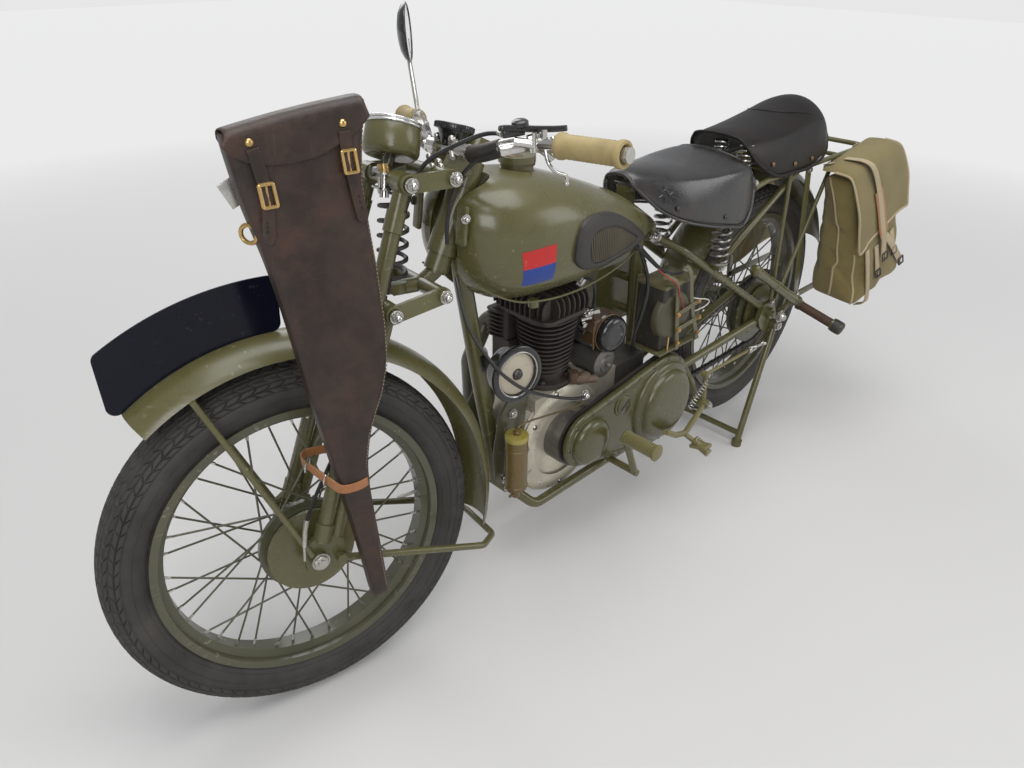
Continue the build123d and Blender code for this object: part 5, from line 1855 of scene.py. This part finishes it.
def makeHead():
    x, base = engine["x"], engine["topZ"]
    high = engine["headZ"] - base
    parts = [bevelled(addSlice("headBase", softBox(x - 62, x + 66, -98, 62, 26, 8), base, base + 10), 2, 2)]
    for i in range(-4, 3):
        # Long fins, which round off at the rider's left
        finX = x + i * engine["headPitch"] - 2
        reach = 61 if i < -3 else 63
        tall = high - 2 - 0.7 * abs(i)
        outline = [(-92, 8), (-92, tall - 22), (-86, tall - 10), (-70, tall), (reach - 26, tall),
                   (reach - 12, tall - 5), (reach - 3, tall - 15), (reach, tall - 28), (reach - 1, tall - 42),
                   (reach - 6, 8)]
        points = [spot(finX - 1.9, y, base + z) for y, z in outline]
        parts.append(bevelled(pulled("headFin", points, (3.8, 0, 0)), 1.1, 1))
    for i in range(engine["crossFins"]):
        # Short fins across the back of the head
        y = -96 + engine["crossPitch"] * i
        out = 68 if -80 < y < 30 else 60
        tall = high - 10 if y > -80 else high - 18
        outline = [(36, 8), (36, tall), (out - 14, tall), (out - 4, tall - 8), (out, tall - 22), (out - 1, 8)]
        points = [spot(x + along, y - 1.9, base + z) for along, z in outline]
        parts.append(bevelled(pulled("headFin", points, (0, 3.8, 0)), 1.1, 1))
    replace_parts(assemble("head", parts, "frame", "ironFin", 35), "cylinder_head")
    plug = addBars("plug", [((724, 30, base + 34), (716, 40, base + 56), 9, 6),
                            ((716, 40, base + 56), (712, 45, base + 68), 5, 16)])
    assemble("sparkPlug", plug, "frame", "brightSteel")
    lead = [(712, 45, base + 68), (700, 56, base + 66), (682, 52, base + 30), (676, 40, 552)]
    fit(addCurve("plugLead", lead, 3.6), "frame", "cableBlack")


makeCylinder()
makeHead()
say("cylinder and head")

horn = {
    "centre": (948, 88, 530),
    "axis": (0.12, 0.985, 0.08),
    "body": [(0, -41), (26, -41), (40, -37), (48, -28), (51.5, -16), (52.5, -6), (54, -2), (56.5, 0), (57.5, 4),
             (56, 8), (52, 10), (47, 9.4), (43.4, 7), (42.6, 3.4), (41, 2.6)],
    "face": [(0, 6), (16, 5.4), (30, 3.8), (42.6, 2.2)],
    "knob": [(0, 14), (6, 13), (9.5, 10), (11, 6.5), (12, 4.6)],
    "screw": [(0, 2.0), (2.0, 1.7), (2.8, 0.5), (3.0, -0.5)],
    "screws": 6,
    "screwRadius": 49.5,
    "mount": [((957, 16, 530), (951, 56, 530), 9, 20), ((959, 0, 512), (965, 0, 548), 19.2, 32)],
}
centre, axis = Vector(horn["centre"]), Vector(horn["axis"]).normalized()
body = addLathe("hornBody", horn["body"], centre, axis, 64)
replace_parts(body, "horn")
screws = []
u = axis.orthogonal().normalized()
for i in range(horn["screws"]):
    turn = 2 * pi * i / horn["screws"] + 0.3
    at = centre + (u * cos(turn) + axis.cross(u) * sin(turn)) * horn["screwRadius"] + axis * 9
    screws.append(addLathe("hornScrew", horn["screw"], at, axis, 12))
assemble("hornCase", [body] + addBars("hornMount", horn["mount"]), "frame", "blackPaint")
assemble("hornScrews", screws, "frame", "darkSteel")
fit(addRing("hornEdge", centre + axis * 8.6, axis, 44.6, 1.3, 72, 8), "frame", "brightSteel")
fit(addLathe("hornFace", horn["face"], centre, axis, 56), "frame", "hornCream")
fit(addLathe("hornKnob", horn["knob"], centre, axis, 32), "frame", "darkSteel")
say("horn")

magneto = {
    "housings": [((655, -20, 436), (655, 60, 436), 33, 40), ((655, -24, 470), (655, -8, 470), 52, 48)],
    "end": [(40, -6), (41, -2), (41, 16), (38, 22), (32, 26), (24, 26.5), (22, 24.5), (0, 24)],
    "endAxis": (0.05, 1, 0),
    "collar": [(40, -8), (43, -4), (43, 8), (40, 12)],
    "clip": [(688, 58, 530), (692, 62, 505), (688, 60, 478)],
    "lowerCap": [(33, -14), (34, -10), (34, 5), (28, 9), (20, 10), (18, 13), (8, 14), (0, 14)],
    "breather": [((740, 66, 424), (690, 74, 412), 9, 20), ((748, 60, 446), (748, 60, 420), 11, 20)],
    "taps": [
        ((708, 50, 560), (696, 62, 570), 5.5, 16), ((696, 62, 570), (688, 70, 573), 7.5, 6),
        ((712, 44, 544), (714, 56, 541), 6.5, 6), ((718, 48, 552), (700, 60, 556), 3.0, 12),
        ((722, 46, 536), (722, 62, 530), 6, 6),
    ],
}
housing = [softBlock("magBody", (648, 22, 504), (76, 70, 62), (0, 0, 0), 10, 3)]
housing += addBars("magHousing", magneto["housings"])
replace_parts(assemble("magneto", housing, "frame", "dullAlloy"), "magneto")
cover = softBlock("magCover", (648, 37, 524), (80, 50, 34), (0, -4, 0), 6, 3)
fit(cover, "frame", "brownCover")
dark = [addLathe("magEnd", magneto["end"], (646, 62, 505), magneto["endAxis"], 56),
        addLathe("magCollar", magneto["collar"], (672, 4, 512), (0.3, 1, 0.1), 48)]
assemble("magBlack", dark, "frame", "blackPaint")
bright = [addRing("magBand", (646, 66, 505), magneto["endAxis"], 41.4, 1.5, 56, 8),
          addRing("magRing", (647, 86.5, 505), magneto["endAxis"], 25, 1.2, 40, 8),
          addCurve("magClip", magneto["clip"], 2.4, 3, 6),
          addBlock("magBracket", (688, 44, 500), (4, 34, 24)),
          addBar("magTerminal", (676, 40, 542), (680, 42, 554), 5, 16)]
assemble("magBright", bright, "frame", "bronzeStud")
lower = [addLathe("lowerCap", magneto["lowerCap"], (655, 62, 434), (0, 1, 0), 44),
         addNut("lowerNut", (655, 74, 434), (0, 1, 0), 14, 8)]
assemble("magLowerEnd", lower, "frame", "dullAlloy")
breather = [addBall("breatherLump", (726, 66, 424), 19, (1.3, 0.7, 0.7))] + addBars("breather", magneto["breather"])
assemble("breather", breather, "frame", "brownCover")
taps = addBars("priming", magneto["taps"]) + [addBall("priming", (703, 55, 565), 7.4)]
assemble("primingTaps", taps, "frame", "brightSteel")
say("magneto")

case = {
    "front": (764, 308, 64),     # x, z, radius
    "back": (503, 297, 116),
    "inner": 94, "rim": 124,
    "screwGap": 54.0,
    "cap": (650, 352, 23),
    "rearDome": [(103, -4), (102.5, 5), (100, 9), (95, 11.5), (90, 12.5), (87, 15), (85.5, 22), (81, 27.5),
                 (73, 30.5), (60, 31.6), (0, 32)],
    "frontDome": [(55, -4), (54.5, 8), (52, 15), (46, 20), (36, 22.5), (0, 23.5)],
    "drive": ((775, 58.4, 300), (775, 102, 300), 56, 48),
    "output": ((500, 64.6, 300), (500, 102, 300), 27, 32),
    "screw": [(0, 2.6), (3.4, 2.4), (4.4, 1.2), (4.6, -2)],
}


def beltOutline(front, back, grow=0, frontParts=30, backParts=30):
    # Two circles with their outer tangents, as X, Z pairs
    (ax, az, ar), (bx, bz, br) = front, back
    ar, br = ar + grow, br + grow
    gap, lean = hypot(ax - bx, az - bz), atan2(az - bz, ax - bx)
    half = pi / 2 + atan2(br - ar, sqrt(gap ** 2 - (br - ar) ** 2))
    made = []
    for k in range(frontParts + 1):
        turn = lean - (pi - half) + 2 * (pi - half) * k / frontParts
        made.append((ax + ar * cos(turn), az + ar * sin(turn)))
    for k in range(backParts + 1):
        turn = lean + (pi - half) + 2 * half * k / backParts
        made.append((bx + br * cos(turn), bz + br * sin(turn)))
    return made


def alongOutline(outline, gap, shift=0.0):
    # Evenly spaced places round a closed outline
    ring = outline + outline[:1]
    total = sum(hypot(b[0] - a[0], b[1] - a[1]) for a, b in zip(ring, ring[1:]))
    count = round(total / gap)
    wanted, made, run = [(i + shift) * total / count for i in range(count)], [], 0.0
    for a, b in zip(ring, ring[1:]):
        step = hypot(b[0] - a[0], b[1] - a[1])
        while wanted and wanted[0] <= run + step:
            t = (wanted[0] - run) / step if step else 0.0
            made.append((a[0] + (b[0] - a[0]) * t, a[1] + (b[1] - a[1]) * t))
            wanted.pop(0)
        run += step
    return made


def caseOutline(grow, parts=30):
    return beltOutline(case["front"], case["back"], grow, parts, parts)


def makeChaincase():
    rim, inner, across = case["rim"], case["inner"], (0, 1, 0)
    shell = bevelled(addPlate("caseShell", caseOutline(0), inner + 12, rim), 8, 4, 50)
    backing = addPlate("caseBacking", caseOutline(3), inner + 6, inner + 12.5)
    # The rim's raised lip, with the sunk face inside it
    lip = addCurve("caseLip", [(x, rim - 0.5, z) for x, z in caseOutline(-13, 22)], 2.6, 3, 3, 3, True)
    frontX, frontZ, backX, backZ = *case["front"][:2], *case["back"][:2]
    capX, capZ, capRadius = case["cap"]
    seat = [(capRadius + out, high) for out, high in ((6, -3), (5, 2.5), (2, 3.6), (0, 3.6))]
    cap = [(capRadius, -2), (capRadius - 1, 3.5), (capRadius - 4, 5.5), (0, 6.2)]
    parts = [shell, lip,
             addLathe("rearDome", case["rearDome"], (backX, rim - 2, backZ), across, 96),
             addLathe("frontDome", case["frontDome"], (frontX - 6, rim - 2, frontZ - 2), across, 72),
             addLathe("caseCapSeat", seat, (capX, rim, capZ), across, 56),
             addLathe("caseCap", cap, (capX, rim + 1, capZ), across, 56)]
    assemble("caseDrives", addBars("caseDrive", [case["drive"], case["output"]]), "frame", "dullAlloy")
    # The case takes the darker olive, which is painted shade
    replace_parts(assemble("chaincase", parts, "frame", "oliveCase", 35), "primary_chaincase")
    fit(backing, "frame", "darkSteel")
    # Black bars on the cap and on each screw head stand for their slots: painted shade in the slots
    dark = [addBlock("capSlotShade", (capX, rim + 7.0, capZ), (2 * capRadius - 14, 1.6, 4.5), (0, 38, 0))]
    heads = []
    for x, z in alongOutline(caseOutline(-6.5), case["screwGap"], 0.4):
        heads.append(addLathe("caseScrew", case["screw"], (x, rim - 1.6, z), across, 16))
        dark.append(addBlock("screwSlotShade", (x, rim + 1.0, z), (7.4, 0.7, 1.1), (0, (x * 7) % 180, 0)))
    assemble("caseScrews", heads, "frame", "oliveDark")
    assemble("caseSlotShades", dark, "frame", "cableBlack")


makeChaincase()
say("primary chaincase")

# Crankcase trim: bolts, raised edge, engine plates, clutch cable and oil pipe
crankcase = {
    "centre": (775, 290),
    "ridge": 129,
    "face": [(128, -2), (127, 2.4), (122, 5), (104, 7), (88, 7.4)],
    "bolts": [(862, 356), (880, 306), (874, 250), (838, 202), (776, 174), (700, 190), (800, 410)],
    "plateBolts": [(918, 410), (930, 350), (905, 300), (935, 255)],
    "plate": [(872, 430), (930, 440), (952, 410), (966, 330), (962, 262), (935, 236), (898, 250), (900, 330),
              (880, 380)],
    "cable": [(1046, 40, 736), (1052, 56, 700), (1052, 76, 650), (1034, 120, 590), (1000, 119, 552), (960, 117, 514),
              (920, 116, 486), (885, 116, 466), (830, 113, 437), (790, 110, 418), (766, 108, 411)],
    "pipe": [(938, 84, 386), (938, 84, 397), (930, 86, 405), (905, 91, 407), (868, 99, 406), (820, 106, 402),
             (786, 108, 398), (764, 106, 396)],
}
bolts = [addNut("caseBolt", (757, 100, 410), (0.1, 1, 0.1), 17, 12, 1.3)]
bolts += [addNut("crankBolt", (x, 57, z), (0, 1, 0), 13, 8, 1.3, False) for x, z in crankcase["bolts"]]
bolts += [addNut("plateBolt", (x, 50, z), (0, 1, 0), 16, 10, 1.3, False) for x, z in crankcase["plateBolts"]]
assemble("crankBolts", bolts, "frame", "brightSteel")
(midX, midZ), reach = crankcase["centre"], crankcase["ridge"]
arc = [(midX + reach * cos(radians(a)), midZ + reach * sin(radians(a))) for a in range(-60, 64, 6)]
ridge = [addCurve("crankRidge", [(x, y, z) for x, z in arc], 2.4, 3, 3) for y in (0, 52)]
ridge.append(addLathe("crankFace", crankcase["face"], (midX, 56, midZ), (0, 1, 0), 96))
assemble("crankTrim", ridge, "frame", "caseAlloy")
plates = [bevelled(addPlate("enginePlate", crankcase["plate"], y - 3, y + 3), 1.5, 2) for y in (46, -46)]
assemble("enginePlates", plates, "frame", "oliveDark")
fit(addCurve("clutchCable", crankcase["cable"], 3.4), "frame", "cableBlack")
fit(addCurve("oilPipe", crankcase["pipe"], 2.0), "frame", "oldBrass")
say("engine trim")


# Battery in its strap frame
battery = {
    "straps": [[(541, 622), (520, 612), (499, 592), (486, 520), (469, 426)],
               [(458, 622), (452, 606), (434, 540), (412, 480), (389, 426)]],
    "cross": [((486, 518), (409, 528)), ((477, 478), (399, 485))],
    "nuts": [(486, 518), (409, 528), (477, 478), (399, 485), (474, 444), (396, 444)],
    "wide": 13,
    "thick": 3.2,
    "face": 127.0,
    "round": [(0, 5), (20, 5.4), (38, 4.6), (44, 6), (50, 5.6), (54, 3), (57, -3), (58, -12)],
    "lugs": [((475, 15.4, 480), (475, 40, 480), 9, 24), ((480, 15.4, 560), (480, 40, 560), 9, 24)],
    "redWire": [(556, 112, 640), (540, 124, 620), (512, 131, 604), (497, 131, 584), (492, 132, 566), (478, 132, 548),
                (468, 131, 528), (470, 126, 505)],
    "whiteWire": [(430, 122, 540), (412, 132, 535), (385, 136, 528), (370, 137, 519), (384, 136, 510),
                  (404, 131, 506), (420, 122, 500)],
    "looms": [
        ([(575, 60, 700), (566, 84, 650), (560, 96, 600), (566, 92, 540), (572, 78, 480), (560, 70, 440)], 4.4),
        ([(620, 40, 716), (590, 70, 690), (560, 92, 655), (540, 108, 632), (500, 112, 612)], 3.6),
        ([(575, 64, 690), (540, 96, 640), (500, 104, 606), (450, 104, 600)], 2.6),
    ],
}


def makeBattery():
    box = softBlock("batteryCase", (470, 80, 508), (110, 74, 148), (0, 0, 0), 6, 3)
    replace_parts(box, "battery")
    fit(box, "frame", "batteryDark")
    drum = addLathe("batteryRound", battery["round"], (486, 116, 512), (0.1, 1, 0), 64)
    fit(drum, "frame", "oliveDusty")
    parts = [softBlock("batteryLid", (470, 80, 585), (114, 78, 10), (0, 0, 0), 3, 2),
             addBlock("batteryFoot", (470, 82, 430), (130, 92, 4))]
    parts += [softBlock("batteryRail", (470, 40, z), (104, 3.4, 20), (0, 0, 0), 1, 1) for z in (480, 560)]
    parts += addBars("batteryLug", battery["lugs"])
    parts += [addBlock("batteryBack", (x, 40, 512), (16, 3.6, 170)) for x in (424, 516)]
    face, wide, thick = battery["face"], battery["wide"], battery["thick"]
    for line in battery["straps"]:
        # Down the face, and hooked under the battery's foot
        x, z = line[-1]
        down = [(a, face - (10 if b > 610 else 0), b) for a, b in line]
        parts.append(addRibbon("batteryStrap", down, wide, thick, (1, 0, 0), 5))
        under = [(x, face, z + 4), (x, face - 4, z - 2), (x + 2, 84, 431)]
        parts.append(addRibbon("batteryStrap", under, wide, thick, (1, 0, 0), 4))
    for (xa, za), (xb, zb) in battery["cross"]:
        across = [(xa + 8, face + 2.6, za), ((xa + xb) / 2, face + 2.8, (za + zb) / 2), (xb - 8, face + 2.6, zb)]
        parts.append(addRibbon("batteryStrap", across, 11, 2.6, (0, 0, 1), 2))
    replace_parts(assemble("batteryFrame", parts, "frame", "oliveDull"), "battery_carrier")
    nuts = [addNut("strapNut", (x, face + 3, z), (0, 1, 0), 9, 6, 1.3, False) for x, z in battery["nuts"]]
    nuts.append(addBar("strapRod", (505, face - 2, 432), (505, face - 2, 468), 2.4, 10))
    assemble("batteryNuts", nuts, "frame", "brass")
    fit(addCurve("redWire", battery["redWire"], 1.5), "frame", "wireRed")
    fit(addCurve("whiteWire", battery["whiteWire"], 1.5), "frame", "wireWhite")
    looms = [addCurve("loom", line, radius) for line, radius in battery["looms"]]
    assemble("looms", looms, "frame", "cableBlack")


makeBattery()
say("battery")

# Footrests: ribbed rubbers, and the pillion's rusty bar with a black end
footrest = {
    "riders": [((690, 166, 306), 1), ((690, -198, 306), -1)],
    "long": 90,
    "radius": 16.0,
    "ribs": 15,
    "ribDepth": 1.7,
    "peg": [(-140, 122, 347.9), (-140, 228, 323.0), (-140, 256, 316.5)],
    "end": [(0, 0), (14, 0), (18.6, 3), (19, 8), (18.6, 24), (16, 28.5), (9, 29.6), (0, 29.8)],
}


def ribbedProfile(radius, long, ribs, deep):
    profile = [(0, 0), (radius - 3, 0)]
    pitch = (long - 10) / ribs
    for i in range(ribs):
        start = 3 + (long - 10) * i / ribs
        profile += [(radius - deep, start), (radius, start + pitch * 0.3),
                    (radius, start + pitch * 0.65), (radius - deep, start + pitch * 0.95)]
    return profile + [(radius + 2.4, long - 6), (radius + 3, long - 2), (radius - 2, long + 1), (0, long + 1)]


ribs = ribbedProfile(footrest["radius"], footrest["long"], footrest["ribs"], footrest["ribDepth"])
pads = [addLathe("footPad", ribs, foot, (0, side, 0), 40) for foot, side in footrest["riders"]]
ends, pegs = [], []
for side in (1, -1):
    a, b, c = (Vector((x, y * side, z)) for x, y, z in footrest["peg"])
    along = (b - a).normalized()
    pegs.append(addBar("pillionBar", a, b, 12.7, 28))
    pegs.append(addBar("pillionBar", a - along * 4, a + along * 6, 14.5, 28))
    ends.append(addLathe("pillionEnd", footrest["end"], b, c - b, 36))
assemble("footPads", pads, "frame", "oliveYellow")
assemble("pillionBars", pegs, "frame", "rustSteel")
assemble("pillionEnds", ends, "frame", "padRubber")

pedal = {
    "teeth": 7,
    "toothPitch": (6, -1.72),  # along Y and Z
    "pins": [
        ((92, 132, 300), (62, 132, 300), 5.5, 12),
        ((326, 118, 304), (326, 142, 304), 5, 16),
        ((316, 118, 216), (316, 148, 216), 7, 20),
    ],
    "springs": [
        # foot, top, radius, wire, turns
        ((96, 132, 300), (132, 132, 300), 7, 1.3, 8),
        ((330, 140, 290), (392, 138, 236), 6, 1.3, 10),
    ],
}
trim = [softBlock("pedalPad", (449, 216, 192), (30, 46, 9), (16, 0, 0), 2.5, 2)]
for i in range(pedal["teeth"]):
    y, z = 198 + pedal["toothPitch"][0] * i, 202.4 + pedal["toothPitch"][1] * i
    trim.append(addBlock("pedalTooth", (449, y, z), (28, 2.2, 4), (16, 0, 0)))
assemble("pedalTrim", trim, "frame", "oliveYellow")
bright = addBars("pedalPin", pedal["pins"])
bright += [addCoil("pedalSpring", *spring) for spring in pedal["springs"]]
bright += [addNut("rodNut", (66, 132, 300), (-1, 0, 0), 16, 12, 1.1, False),
           addNut("pedalNut", (316, 146, 216), (0, 1, 0), 17, 9, 1.3, False),
           addBall("rodWing", (58, 132, 300), 8, (0.7, 1.5, 0.8))]
assemble("rodTrim", bright, "frame", "brightSteel")

pump = {
    "top": (165, 128, 536),
    "foot": (-115, 128, 366),
    "handle": [(0, -3), (11, -3), (13.5, 0), (14.4, 4), (14.4, 26), (13, 30), (12.2, 34)],
    "cap": [(0, -8), (6, -8), (9, -5), (13.4, -2), (14.4, 3), (14.4, 16), (12.2, 20)],
    "band": [(12.2, -9), (13.2, -8), (13.2, 8), (12.2, 9)],
    "knurls": (7, 10, 13, 16, 19, 22),
}
top, foot = Vector(pump["top"]), Vector(pump["foot"])
run = (top - foot).normalized()
parts = [addLathe("pumpHandle", pump["handle"], foot, run, 36), addLathe("pumpCap", pump["cap"], top, -run, 36),
         addLathe("pumpBand", pump["band"], top - run * 150, run, 36)]
assemble("pumpTrim", parts, "frame", "olivePaint")
knurls = [addRing("pumpKnurl", foot + run * d, run, 14.5, 0.7, 36, 6) for d in pump["knurls"]]
assemble("pumpKnurls", knurls, "frame", "oliveDark")
say("footrests and pump")

saddleSprings = {
    "at": (272, 84),
    "coil": (578, 700, 21.5, 3.3, 7),    # foot, top, radius, wire, turns
    "bars": [(572, 577, 25, 32), (700, 706, 24, 32), (704, 769.7, 8, 20)],  # foot, top, radius, sides
}
coils = []
for side in (1, -1):
    x, y = saddleSprings["at"][0], saddleSprings["at"][1] * side
    low, high, *wound = saddleSprings["coil"]
    coils.append(addCoil("saddleSpring", (x, y, low), (x, y, high), *wound))
    coils += [addBar("springSeat", (x, y, low), (x, y, high), radius, sides)
              for low, high, radius, sides in saddleSprings["bars"]]
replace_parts(assemble("saddleSprings", coils, "frame", "springSteel"), "seat_springs")

# Rear stays, pannier rails and the frame's nuts
rear = {
    "rail": ((-99, 557), (24, 4, 382), 11.3),   # x and z, size, slant
    "foot": ((-245, 372), (240, 4, 20), 0),
    "railY": 106,
    "nuts": [
        # x, y, z, across flats
        (-30, 121, 318, 22), (276, 98, 566, 17), (-138, 108, 376, 14), (-62, 108, 738, 14), (18, 113.6, 446.7, 14),
        (9.6, 113, 398, 15), (448, 26, 662, 17), (600, 26.7, 722, 15), (930, 26.7, 822, 15), (914, 34, 216, 18),
        (456, 58, 168, 18), (476, 44, 277, 15), (640, 60, 186, 16), (0, 136, 361, 26), (196, 106, 752, 12),
        (60, 106, 752, 12),
    ],
    "acorn": 26,             # only the axle's nuts have a dome
}
stays, nuts = [], []
for side in (1, -1):
    stays.append(addBar("seatStay", (276, 86 * side, 566), (-26, 96 * side, 741), 8.0, 24))
    stays.append(addBar("stayLug", (276, 74 * side, 566), (276, 98 * side, 566), 12, 24))
    for (x, z), size, slant in (rear["rail"], rear["foot"]):
        stays.append(addBlock("pannierRail", (x, rear["railY"] * side, z), size, (0, slant, 0)))
    for x, y, z, across in rear["nuts"]:
        nut = addNut("frameNut", (x, y * side, z), (0, side, 0), across, across * 0.55, 1.3, across == rear["acorn"])
        nuts.append(nut)
fit(bevelled(joined("rearStays", stays), 1.2, 2), "frame", "olivePaint")
assemble("frameNuts", nuts, "frame", "brightSteel")

chain = {
    "front": (500, 300, 46),   # x, z, radius
    "back": (0, 361, 104),
    "y": 62,
    "pitch": 15.4,
    "plate": (20.5, 1.3, 10.5),
}
places = alongOutline(beltOutline(chain["front"], chain["back"], 0, 40, 80), chain["pitch"])
links = []
for i, ((ax, az), (bx, bz)) in enumerate(zip(places, places[1:] + places[:1])):
    turn = -degrees(atan2(bz - az, bx - ax))
    out = 5.2 if i % 2 else 3.8
    for side in (1, -1):
        at = ((ax + bx) / 2, chain["y"] + out * side, (az + bz) / 2)
        links.append(addBlock("linkPlate", at, chain["plate"], (0, turn, 0)))
    links.append(addBar("linkRoller", (ax, chain["y"] - 6, az), (ax, chain["y"] + 6, az), 4.6, 10))
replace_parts(assemble("chainLinks", links, "frame", "darkSteel", 30), "rear_chain")
say("chain")

oilBottle = {
    "at": (938, 84),
    "top": [(24.0, -9), (24.4, -1), (23.2, 1.6), (18, 2.2), (0, 2.6)],
    "band": [(23, -3), (24.2, -2), (24.2, 2), (23, 3)],
    "bandHeights": (262, 352),
    "collar": [(8, 0), (8, 6), (5, 8), (5, 13), (2, 14)],
}
at, up = oilBottle["at"], (0, 0, 1)
assemble("bottleTops", [addLathe("bottleTop", oilBottle["top"], (*at, 384), up, 48)], "frame", "yellowPaint")
bands = [addLathe("bottleBand", oilBottle["band"], (*at, z), up, 48) for z in oilBottle["bandHeights"]]
bands += [addLathe("bottleCollar", oilBottle["collar"], (*at, 385.5), up, 24),
          addNut("bottleNut", (*at, 246), (0, 0, -1), 15, 9, 1.1, False),
          addBar("bottleTap", (920, 84, 238), (956, 84, 238), 3.2, 12)]
assemble("bottleBands", bands, "frame", "bottlePaint")
say("oil bottle")

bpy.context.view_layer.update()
say("done")
